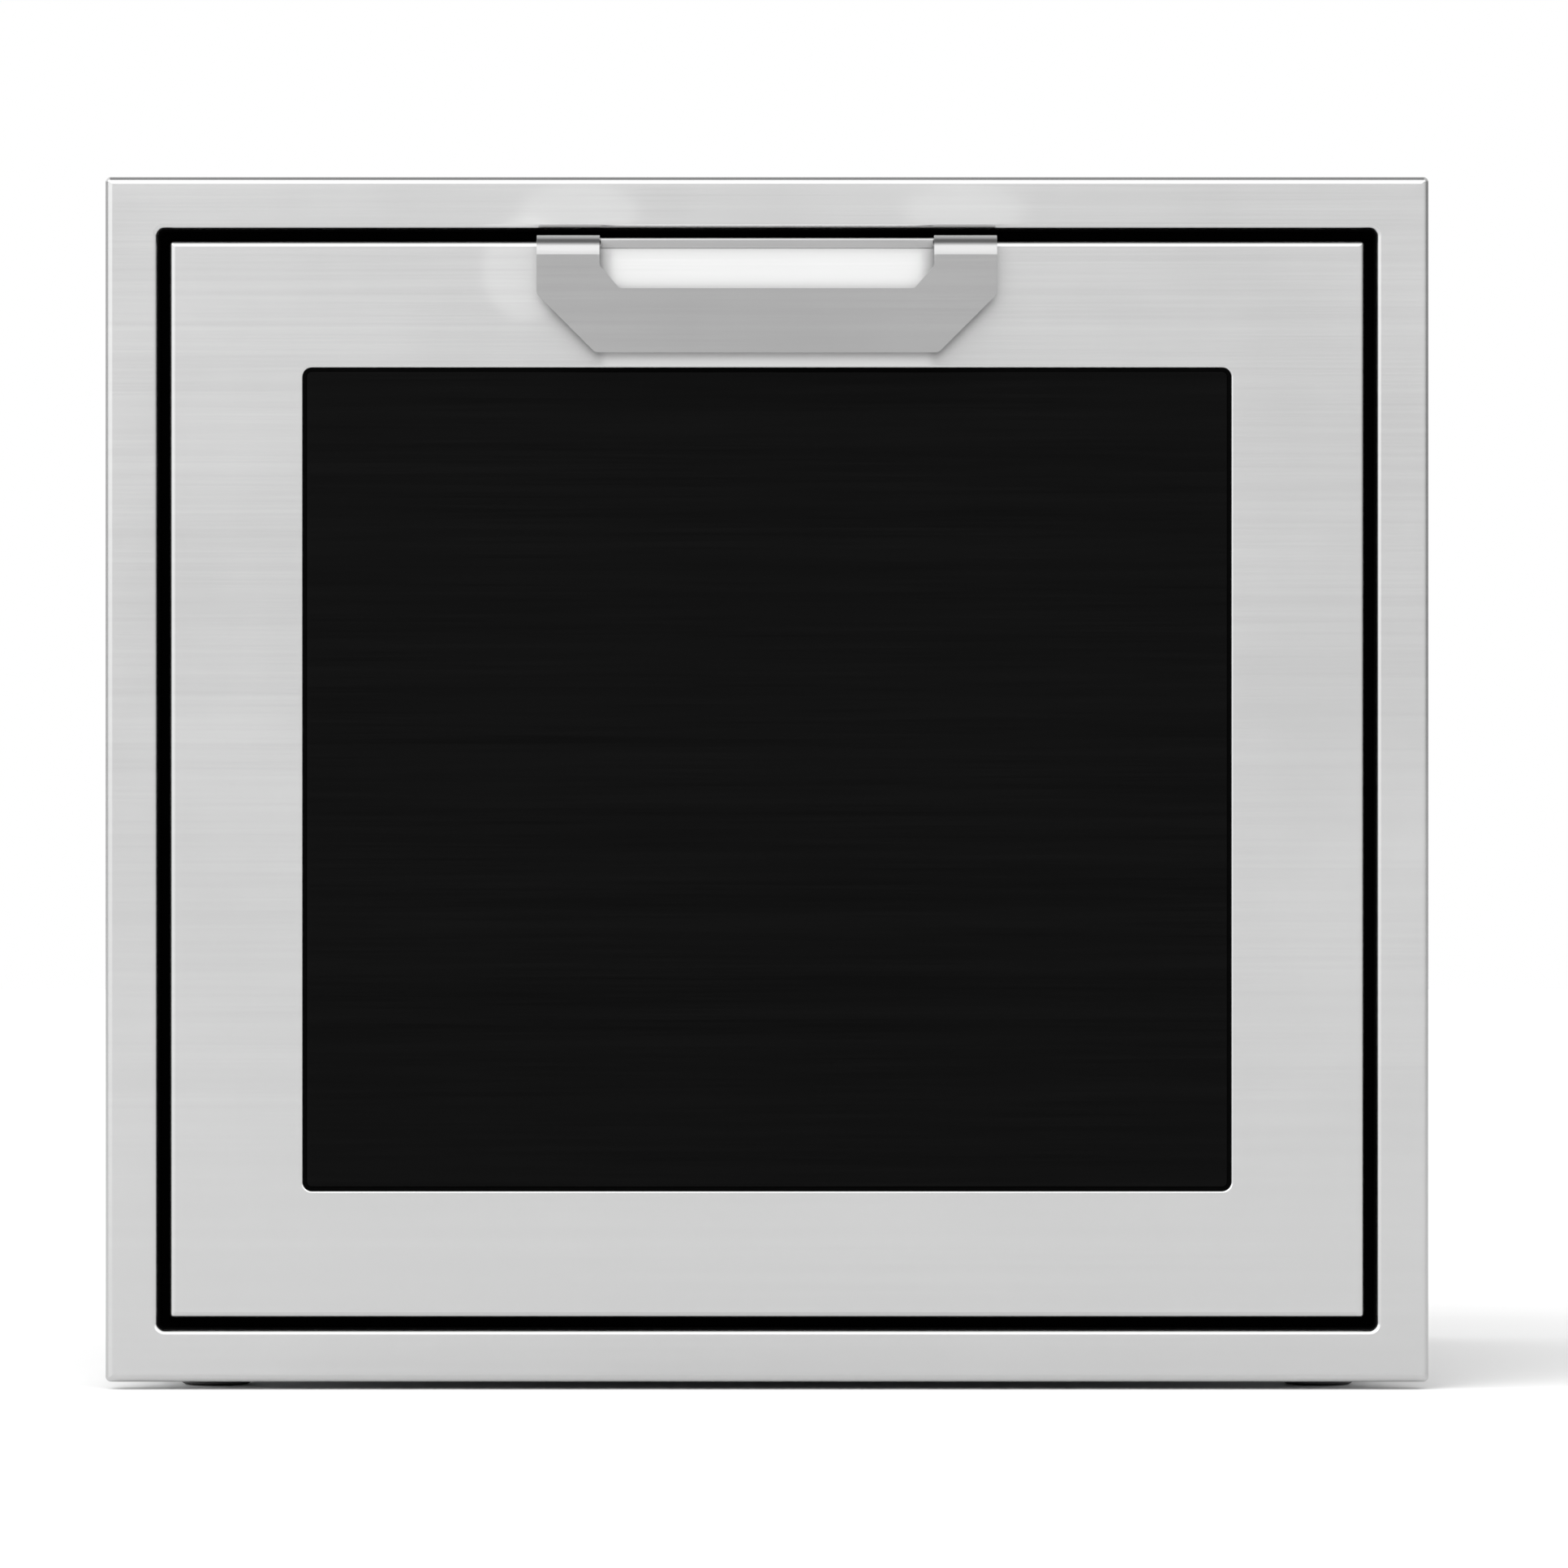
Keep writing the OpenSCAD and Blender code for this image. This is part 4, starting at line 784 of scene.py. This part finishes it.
# %% [markdown]
# ## Moulded bin
# The bin lifts out of the drawer and holds the bag. A moulded bin narrows towards its floor, or it would
# not leave its mould, and it has a rolled rim and two beads that stiffen the wall. Each pair below is one
# ring in millimetres: how far in from the rim, and how high.

# %% Moulded bin
bin_low, bin_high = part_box("bin")
rim = ((bin_low.x, bin_low.y), (bin_high.x, bin_high.y), 26 * mm)
top = (bin_high.z - bin_low.z) / mm
outside = [(22, 0), (15, 0.4), (12, 2), (10.6, 6), (9.6, 80), (8.4, 84), (8.4, 92), (9.3, 96), (8.6, 180),
           (7.4, 184), (7.4, 192), (8.3, 196), (7.4, top - 34), (6.6, top - 28), (6.2, top - 10)]
rolled = [(3 - 3 * math.sin(a), top - 5 - 5 * math.cos(a))
          for a in (math.radians(22.5 * i) for i in range(9))]
inside = [(7.4, top - 0.6), (8.4, top - 3), (9.0, top - 20), (10.5, 190), (13.0, 9), (15, 4.4), (19, 3)]
bin_rings = [level_ring(rim, by * mm, bin_low.z + up * mm) for by, up in outside + rolled + inside]
lofted_piece("moulded_bin", bin_rings, bin_plastic, "bin", sharp=60)

# %% [markdown]
# ## Bag buttons and levelling feet
# A bag is held by four mushroom-shaped buttons on the bin's sides. The feet are a moulded pad, a nut and a
# threaded stem. All are turned pieces: a profile spun round an axis, with three values where the ring is a
# hexagon.

# %% Bag buttons and levelling feet
button_low, button_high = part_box("bag_buttons")
button_x, button_r = bin_high.x - 6 * mm, (button_high.z - button_low.z) / 2
bm = bmesh.new()
for side in (-1, 1):
    for y in (button_low.y + button_r, button_high.y - button_r):
        at = facing((side * button_x, y, (button_low.z + button_high.z) / 2), (side, 0, 0))
        turned(bm, at, [(4, -0.3), (3.6, 3.6), (6.4, 4.1), (7, 4.7), (6.9, 5.7), (5.8, 6.6), (3, 7)])
finish_piece("bag_button_studs", bm, blue_plastic, "bag_buttons")

leg_low, leg_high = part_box("levelling_legs")
pad_r = 20 * mm
pad = [(18.6, 0), (19.8, 0.8), (20, 2), (19.4, 4.6), (17, 6.4), (11, 7.6), (9, 8)]
nut = [(8.6, 8, 1), (9.5, 8.5, 1), (9.5, 13.5, 1), (8.6, 14, 1)]
stem = [(5, 13.9)] + [(5 if i % 2 else 4.3, 14.4 + 0.5 * i) for i in range(24)] + [(5, 26)]
bm = bmesh.new()
for x in (leg_low.x + pad_r, leg_high.x - pad_r):
    for y in (leg_low.y + pad_r, leg_high.y - pad_r):
        at = facing((x, y, leg_low.z), (0, 0, 1))
        turned(bm, at, pad)
        turned(bm, at, nut, count=36)
        turned(bm, at, stem, count=20)
finish_piece("levelling_feet", bm, foot_plastic, "levelling_legs")

# %% [markdown]
# ## Screws
# The back panel is held by pan-head screws, and the drawer front by pan heads behind it and countersunk
# heads in the handle. Each head has a real six-sided recess, because a painted one would be flat when
# light grazes it.

# %% Screws
def pan_head(bm, at, radius, height, shank_r, shank):
    """A pan-head screw, in millimetres, with its head's underside at the place."""
    socket = radius * 0.45
    shaft = [(shank_r * 0.4, -shank), (shank_r, -shank + shank_r), (shank_r, 0)]
    dome = [(radius * 0.96, 0), (radius, height * 0.2), (radius * 0.94, height * 0.62),
            (radius * 0.72, height * 0.93)]
    recess = [(socket * 1.12, height, 1), (socket, height * 0.9, 1), (socket * 0.96, height * 0.35, 1)]
    turned(bm, at, shaft + dome + recess, count=36)


screws_low, screws_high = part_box("cabinet_screws")
head_r, rows = 4.4, 4
edge = head_r * mm
bm = bmesh.new()
for x in (screws_low.x + edge, screws_high.x - edge):
    for i in range(rows):
        z = screws_low.z + edge + i * (screws_high.z - screws_low.z - 2 * edge) / (rows - 1)
        pan_head(bm, facing((x, screws_high.y - 3 * mm, z), (0, 1, 0)), head_r, 3, 2, 7.5)
finish_piece("back_panel_screws", bm, screw_steel, "cabinet_screws")

chassis_low, chassis_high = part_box("drawer_chassis")
countersunk = [(1.9, -12.5), (1.9, -2), (3.5, -0.3), (3.5, 0), (1.7, 0, 1), (1.5, -1.2, 1)]
bm = bmesh.new()
for x in screw_places:
    at = facing((x, front_y + (handle_high.y - front_y) / 2, handle_high.z - 0.2 * mm), (0, 0, 1))
    turned(bm, at, countersunk, count=36)
for share in (-0.8, 0, 0.8):
    for up in (20 * mm, 180 * mm):
        at = facing((share * chassis_high.x, chassis_low.y + 2 * mm, chassis_low.z + up), (0, 1, 0))
        pan_head(bm, at, 4, 2.5, 1.9, 6)
finish_piece("drawer_fixings", bm, screw_steel, "drawer_screws")

# %% [markdown]
# ## A real screw thread
# A thread is a profile carried along a helix. Every turn is cut into equal steps, each step has the four
# points of the profile, and the last point of one turn is joined to the first point of the next. The
# thread fades into its core at both ends, as it does where the tool leaves the bar.

# %% Screw thread
def threaded_bar(bm, at, length, crest, core, lead, steps=24):
    profile = ((0.0, 0), (0.32, 1), (0.52, 1), (0.84, 0))     # share of the lead, and whether on the crest
    run_out = 0.7 * steps
    last = int(length / lead * steps) - steps
    rows = []
    for i in range(last + 1):
        angle, rise = 2 * math.pi * i / steps, lead * i / steps
        fade = min(1.0, i / run_out, (last - i) / run_out)
        row = []
        for share, on_crest in profile:
            r = core + (crest - core) * fade * on_crest
            point = Vector((r * math.cos(angle), r * math.sin(angle), rise + share * lead))
            row.append(bm.verts.new(at @ point))
        rows.append(row)
    for i in range(last):
        here, after = rows[i], rows[i + 1]
        for j in range(3):
            bm.faces.new((here[j], after[j], after[j + 1], here[j + 1]))
        if i + 1 + steps <= last:
            bm.faces.new((here[3], after[3], rows[i + 1 + steps][0], rows[i + steps][0]))
    bmesh.ops.holes_fill(bm, edges=[e for e in bm.edges if e.is_boundary], sides=0)


def middle(node):
    low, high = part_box(node)
    return (low + high) / 2


print("a thread turn has 24 steps of 4 points")

# %% [markdown]
# ## Power screws
# Two screws pull the ram down. Each is a threaded bar with a turned foot, which sits in its bearing and
# carries the sprocket, and a turned head with a collar that takes the pull.

# %% Power screws
screw_lead, crest = 6.35 * mm, 11 * mm
core = crest - screw_lead / 2
bearing_r, seat_r, core_r = 7.5, 8.5, core / mm + 0.05
foot = [(6.7, 0), (bearing_r, 0.8), (bearing_r, 10), (seat_r, 10), (seat_r, 26.4), (core_r, 28),
        (core_r, 34)]
head = [(core_r, -6), (bearing_r, 0), (bearing_r, 12), (11.8, 12), (12.5, 12.7), (12.5, 18.3), (11.8, 19),
        (bearing_r, 19), (bearing_r, 19.4), (6.9, 20)]
for side in ("left", "right"):
    node = side + "_power_screw"
    low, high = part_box(node)
    axis = middle(node)
    thread_low, thread_high = low.z + 27 * mm, high.z - 20 * mm
    bm = bmesh.new()
    thread_at = facing((axis.x, axis.y, thread_low + 2 * mm), (0, 0, 1))
    threaded_bar(bm, thread_at, thread_high - thread_low, crest, core, screw_lead)
    turned(bm, facing((axis.x, axis.y, low.z), (0, 0, 1)), foot)
    turned(bm, facing((axis.x, axis.y, thread_high), (0, 0, 1)), head)
    finish_piece(side + "_threaded_screw", bm, thread_steel, node)

# %% [markdown]
# ## The chain's line
# The chain joins both screws, a tensioner and the drive sprocket. Its line is the belt problem of geometry:
# a straight run between each two circles, and an arc round each circle. The line is then cut into equal
# pitches. On the wheels the teeth fill the rollers' places, so each point also says whether it lies well
# inside a straight run.

# %% Chain line
def chain_route(centres, radius, arc_steps=40):
    """Points along a loop drawn tight round equal circles, each with whether a straight run follows."""
    count = len(centres)
    normals = []
    for i in range(count):
        run = centres[(i + 1) % count] - centres[i]
        normals.append(math.atan2(run.y, run.x) - math.pi / 2)
    points = []
    for i, centre in enumerate(centres):
        first = normals[i - 1]
        turn = (normals[i] - first) % (2 * math.pi)
        if turn > math.pi:
            turn -= 2 * math.pi
        for k in range(arc_steps + 1):
            angle = first + turn * k / arc_steps
            points.append((centre + radius * Vector((math.cos(angle), math.sin(angle))), k == arc_steps))
    return points


def even_steps(points, pitch, clear=1.6):
    """Points a pitch apart on a closed line. Clear is how many pitches a roller keeps from a wheel."""
    runs = [(a, points[(i + 1) % len(points)][0], straight) for i, (a, straight) in enumerate(points)]
    whole = sum((b - a).length for a, b, _ in runs)
    number = round(whole / pitch)
    number += number % 2
    step, found, gone, index = whole / number, [], 0.0, 0
    for k in range(number):
        while gone + (runs[index][1] - runs[index][0]).length < k * step:
            gone += (runs[index][1] - runs[index][0]).length
            index += 1
        a, b, straight = runs[index]
        part, length = k * step - gone, (b - a).length
        free = straight and clear * pitch < part < length - clear * pitch
        found.append((a + (b - a) * part / length, free))
    return found


chain_pitch, wheel_teeth = 9.525 * mm, 12
pitch_r = chain_pitch / (2 * math.sin(math.pi / wheel_teeth))
wheels = [middle(n).xy for n in ("left_sprocket", "right_sprocket", "tensioner_sprocket", "sprocket_shaft")]
chain_joints = even_steps(chain_route(wheels, pitch_r), chain_pitch)
print("chain of", len(chain_joints), "links")

# %% [markdown]
# ## Roller chain
# Each pitch of the chain gets two side plates, wide ones and narrow ones in turn, as in a real chain.
# The narrow plates lie a little nearer the middle, and each straight run has its rollers.

# %% Roller chain
def side_plate(bm, a, b, z, half, thickness, waist=0.72):
    along = (b - a).normalized()
    across = Vector((-along.y, along.x))
    shape = []
    for end, way in ((b, 1), (a, -1)):
        for k in range(7):
            turn = math.radians(-90 + 30 * k)
            shape.append(end + half * (way * math.cos(turn) * along + way * math.sin(turn) * across))
        shape.append((a + b) / 2 + waist * half * way * across)
    loft(bm, [[Vector((p.x, p.y, height)) for p in shape] for height in (z, z + thickness)])


link_half, link_t, nearer, roller_r = 4.3 * mm, 1.2 * mm, 0.08 * mm, 2.5
chain_low, chain_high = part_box("drive_chain")
roller = [(roller_r, 0), (roller_r, (chain_high.z - chain_low.z - 2 * link_t) / mm)]
bm = bmesh.new()
for i, (a, straight) in enumerate(chain_joints):
    b = chain_joints[(i + 1) % len(chain_joints)][0]
    half, shift = (link_half, 0.0) if i % 2 else (0.94 * link_half, nearer)
    side_plate(bm, a, b, chain_low.z + shift, half, link_t)
    side_plate(bm, a, b, chain_high.z - link_t - shift, half, link_t)
    if straight:
        turned(bm, facing((a.x, a.y, chain_low.z + link_t), (0, 0, 1)), roller, count=12)
finish_piece("roller_chain", bm, chain_steel, "drive_chain")

# %% [markdown]
# ## Ball bearings
# Each bearing is an outer ring, an inner ring and a ring of balls between them. The two rings are turned
# from sections with a groove, and the balls are small subdivided solids. Where the bearings are is read
# from their CAD node: its mesh falls apart into rings that share no edge.

# %% Ball bearings
def ball_bearing(bm, at, outer, inner, width, balls=9, edge=0.4 * mm):
    gap, groove = (outer - inner) * 0.36, (outer - inner) * 0.12
    for wall, way in ((inner, 1), (outer, -1)):
        lip = wall + way * gap
        outside = [(wall + way * edge, 0), (wall, edge), (wall, width - edge), (wall + way * edge, width)]
        track = [(lip, width), (lip, width * 0.7), (lip - way * groove, width * 0.5), (lip, width * 0.3),
                 (lip, 0)]
        turned(bm, at, outside + track, closed=True, unit=1)
    path_r, ball_r = (inner + outer) / 2, (outer - inner) * 0.24
    for i in range(balls):
        turn = 2 * math.pi * i / balls
        centre = at @ Vector((path_r * math.cos(turn), path_r * math.sin(turn), width / 2))
        bmesh.ops.create_icosphere(bm, subdivisions=2, radius=ball_r, matrix=Matrix.Translation(centre))


def separate_rings(node):
    """The floor's centre and the radius of each separate ring in a node, from its mesh."""
    joined = bmesh.new()
    joined.from_mesh(frame["nodes"][node].data)
    bmesh.ops.remove_doubles(joined, verts=joined.verts, dist=1e-6)
    rings, seen = [], set()
    for start in joined.verts:
        if start in seen:
            continue
        seen.add(start)
        ring, todo = [], [start]
        while todo:
            vert = todo.pop()
            ring.append(vert.co)
            fresh = {edge.other_vert(vert) for edge in vert.link_edges} - seen
            seen |= fresh
            todo.extend(fresh)
        xs, ys, zs = zip(*ring)
        centre = Vector(((min(xs) + max(xs)) / 2, (min(ys) + max(ys)) / 2, min(zs)))
        rings.append((centre, (max(xs) - min(xs)) / 2))
    joined.free()
    return rings


for node, inner, width in (("screw_bearings", 7.6 * mm, 9 * mm), ("drive_bearings", 6.1 * mm, 8 * mm)):
    bm = bmesh.new()
    for floor_centre, outer in separate_rings(node):
        ball_bearing(bm, facing(floor_centre, (0, 0, 1)), outer, inner, width)
    finish_piece(node.replace("_bearings", "_ball_bearings"), bm, bearing_steel, node)

# %% [markdown]
# ## Push buttons and key lock
# The controls are on a small panel above the drawer, seen only when it is open. Each button is a turned
# cap with a shallow dish that a fingertip finds. The lock is a turned barrel with a knurled ring and a
# rounded key bow.

# %% Push buttons and key lock
for node, material in (("start_button", green_plastic), ("stop_button", red_plastic)):
    low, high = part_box(node)
    centre = middle(node)
    cap_r, flange_r, long = 8, (high.x - low.x) / 2 / mm, (high.y - low.y) / mm
    dish = [(2, 0.9), (4.5, 0.6), (6.2, 0.1), (7, 0), (7.7, 0.3), (cap_r, 1)]
    collar = [(cap_r, long - 3), (flange_r, long - 3), (flange_r, long), (cap_r, long)]
    bm = bmesh.new()
    turned(bm, facing((centre.x, low.y, centre.z), (0, 1, 0)), dish + collar, count=40)
    finish_piece(node.replace("button", "push_cap"), bm, material, node)

lock, lock_y, bow = middle("key_switch"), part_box("key_switch")[0].y, 4 * mm
rim_edge = [(2.5, 0.5), (5.6, 0.5), (5.9, 0), (6.6, 0.3)]
knurl = [(6.9 if i % 2 else 6.5, 0.9 + 0.35 * i) for i in range(4)]
barrel = [(7, 2.2), (7, 4), (9, 4), (9, 7), (7, 7), (7, 18)]
grip = ((lock.x - 2 * mm, lock.z - 9 * mm), (lock.x + 2 * mm, lock.z + 9 * mm), 1.9 * mm)
bm = bmesh.new()
turned(bm, facing((lock.x, lock_y + bow, lock.z), (0, 1, 0)), rim_edge + knurl + barrel, count=40)
grip_rings = ((0.7, 0), (0.2, 0.25), (0, 0.8), (0, 4.6))
loft(bm, [front_ring(grip, by * mm, lock_y + y * mm) for by, y in grip_rings])
finish_piece("key_lock", bm, key_chrome, "key_switch")

# %% [markdown]
# ## Sheet and plate pieces with broken edges
# Sheet metal never has a perfectly sharp edge, and the thin bright line along a broken edge is what tells
# the eye that it is metal. These pieces keep their CAD shape. Each is copied, its flat triangles are
# joined into whole faces again, and its edges are bevelled by a fraction of a millimetre.

# %% Broken edges
def broken_edges(node, width, material):
    bm = bmesh.new()
    bm.from_mesh(frame["nodes"][node].data)
    bmesh.ops.remove_doubles(bm, verts=bm.verts, dist=1e-6)
    bmesh.ops.dissolve_limit(bm, angle_limit=math.radians(0.5), verts=bm.verts, edges=bm.edges)
    corners = [e for e in bm.edges if e.is_manifold and e.calc_face_angle() > math.radians(50)]
    bmesh.ops.bevel(bm, geom=corners, offset=width, segments=2, profile=0.5, affect="EDGES",
                    clamp_overlap=True)
    finish_piece(node + "_edged", bm, material, node)


plates = {
    cabinet_steel: ["left_side_panel", "right_side_panel", "back_panel"],
    painted_shade_top_steel: ["top_panel"],
    galvanised: ["front_bulkhead", "base_pan", "drawer_front_liner", "motor_shroud", "control_panel"],
    frame_paint: ["left_upright", "right_upright", "top_beam", "press_base_plate", "left_drawer_rail",
                  "right_drawer_rail", "drive_bracket", "ram_crosshead"],
    chassis_paint: ["drawer_chassis"],
    ram_enamel: ["ram_platen", "ram_skirt"],
    zinc: ["slide_outer_members", "slide_inner_members", "left_slide_middle", "right_slide_middle"],
    nylon: ["ram_guide_shoes"],
    red_phenolic: ["limit_switches"],
    black_phenolic: ["power_inlet", "start_capacitor"],
}
for material, nodes in plates.items():
    for node in nodes:
        broken_edges(node, 0.25 * mm, material)

# %% [markdown]
# ## Finishes for the pieces that keep their CAD mesh
# Gears, sprockets, pulleys, the belt, the nuts and the motor are already right in shape, so they get a
# finish only.

# %% Carried-over pieces
carried = {
    gear_steel: ["left_sprocket", "right_sprocket", "tensioner_sprocket", "sprocket_shaft", "drive_gear",
                 "pinion_shaft"],
    bronze: ["ram_nuts"],
    belt_rubber: ["drive_belt"],
    cast_alloy: ["motor_pulley", "belt_pulley", "motor_end_bells"],
    motor_enamel: ["motor_shell"],
    motor_core: ["stator_core"],
    rotor_steel: ["motor_rotor"],
}
for material, nodes in carried.items():
    for node in nodes:
        slots = frame["nodes"][node].material_slots
        for slot in slots:
            slot.material = material
        if not slots:
            frame["nodes"][node].data.materials.append(material)
print(sum(len(nodes) for nodes in carried.values()), "nodes keep their CAD mesh")

# %% [markdown]
# ## Floor
# A plain pale floor, bright enough to read as white paper under the studio light. The lower half of the
# steel mirrors it, so its brightness is close to that of the tent in front.

# %% Floor
def floor_finish():
    material, tree, shader = new_finish("pale_floor", Roughness=0.9, Specular_IOR_Level=0.1)
    clouds = place(tree, handling_marks, Scale=1.5)
    tree.links.new(mix_colour(tree, clouds["Mask"], 0.78, 0.76), shader.inputs["Base Color"])
    return material


floor_bm = bmesh.new()
bmesh.ops.create_circle(floor_bm, cap_ends=True, segments=96, radius=12)
floor_mesh = bpy.data.meshes.new("floor")
floor_bm.to_mesh(floor_mesh)
floor_bm.free()
floor = bpy.data.objects.new("floor", floor_mesh)
floor.location.z = -0.5 * mm
floor_mesh.materials.append(floor_finish())
scene.collection.objects.link(floor)
print("floor", round(floor.dimensions.x, 1), "m across")

# %% [markdown]
# ## Studio light
# Brushed steel shows the room more than it shows itself. The room here is a soft tent: even in front, with
# a broad bright band above that, brighter at the left than at the right, and dimmer overhead and behind.
# Three colour ramps give the brightness by height, from left to right and from front to back, and their
# product lights everything. The camera itself sees plain white.

# %% Studio world
def ramp(tree, socket, stops):
    """Stops are (position, brightness), and the first two are the ends."""
    node = add(tree, "ValToRGB", {0: socket})
    elements = node.color_ramp.elements
    for position, value in stops[2:]:
        elements.new(position)
    for element, (position, value) in zip(elements, sorted(stops)):
        element.position = position
        element.color = (value, value, value, 1)
    return node.outputs[0]


world = bpy.data.worlds.new("studio")
scene.world = world
world.use_nodes = True
tree = world.node_tree
tree.nodes.clear()
direction = add(tree, "SeparateXYZ", {0: add(tree, "TexCoord").outputs["Generated"]}).outputs
side, depth, height = (squeeze(tree, direction[axis], -1.0, 1.0) for axis in range(3))
# from straight down to straight up, then from left to right, then from front to back
by_height = ramp(tree, height, [(0.0, 0.3), (1.0, 0.2), (0.4, 0.34), (0.48, 0.355), (0.525, 0.355),
                                (0.555, 0.32), (0.59, 0.70), (0.94, 0.70), (0.99, 0.2)])
by_side = ramp(tree, side, [(0.0, 1.0), (1.0, 0.45), (0.32, 1.0), (0.42, 0.86), (0.45, 0.68), (0.54, 0.66),
                            (0.6, 0.70), (0.85, 0.66)])
by_depth = ramp(tree, depth, [(0.0, 1.0), (1.0, 0.42), (0.36, 1.0), (0.44, 0.48)])
product = add(tree, "VectorMath", {0: by_height, 1: by_side}, operation="MULTIPLY").outputs[0]
lit = add(tree, "VectorMath", {0: product, 1: by_depth}, operation="MULTIPLY").outputs[0]
around = add(tree, "Background", {"Color": lit, "Strength": 4.65}).outputs[0]
plain = add(tree, "Background", {"Color": (1, 1, 1, 1), "Strength": 1.0}).outputs[0]
from_camera = add(tree, "LightPath").outputs["Is Camera Ray"]
choose = add(tree, "MixShader", {0: from_camera, 1: around, 2: plain})
tree.links.new(choose.outputs[0], add(tree, "OutputWorld").inputs[0])
print("world with", len(tree.nodes), "nodes")

# %% [markdown]
# ## A soft lamp, and the tone of the picture
# The tent alone gives no direction to the painted and plastic parts, so one large soft lamp stands high at
# the left. Polished metal also throws light on what is next to it. Small weak strip lamps stand in for
# that: one behind the handle lights the recess for the fingers, one lies under it, and three brighten the
# steel round the straps. They ride on the drawer with the handle. The Standard view transform keeps white
# paper white.

# %% Lamp and tone
def soft_lamp(name, at, target, size, watts):
    data = bpy.data.lights.new(name, "AREA")
    data.shape, data.size, data.energy = "DISK", size, watts
    lamp = bpy.data.objects.new(name, data)
    lamp.location = at
    lamp.rotation_euler = (Vector(target) - Vector(at)).to_track_quat("-Z", "Y").to_euler()
    scene.collection.objects.link(lamp)
    return lamp


aim = Vector((0, 0, 0.35))
key = soft_lamp("key_lamp", (-0.9, -3.2, 3.0), aim, 2.2, 28)
key.visible_glossy = False
strap_x, recess_z, above_z = handle_half - strap_w / 2, handle_high.z - 16 * mm, handle_high.z + 18 * mm
# name, shape, x, height, width, tall, distance, power in watts
strips = [("finger_lamp", "RECTANGLE", 0, recess_z, 0.18, 0.02, 0.03, 0.007),
          ("under_lamp", "RECTANGLE", 0, handle_low.z - 2 * mm, 0.19, 0.012, 0.03, 0.0028),
          ("left_strap_lamp", "ELLIPSE", -strap_x + 4 * mm, above_z, 0.07, 0.035, 0.06, 0.0012),
          ("right_strap_lamp", "ELLIPSE", strap_x, above_z, 0.07, 0.035, 0.06, 0.0009),
          ("left_side_lamp", "ELLIPSE", -handle_half - 8 * mm, recess_z, 0.05, 0.06, 0.034, 0.0013)]
for name, shape, x, z, wide, tall, away, watts in strips:
    lamp = soft_lamp(name, (x, front_y - away, z), (x, front_y, z), wide, watts)
    lamp.data.shape, lamp.data.size_y = shape, tall
    lamp.visible_camera = False
    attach(lamp, body_of["handle"])
scene.view_settings.view_transform = "Standard"
print("lamp", round((key.location - aim).length, 2), "m away, and", len(strips), "strip lamps")
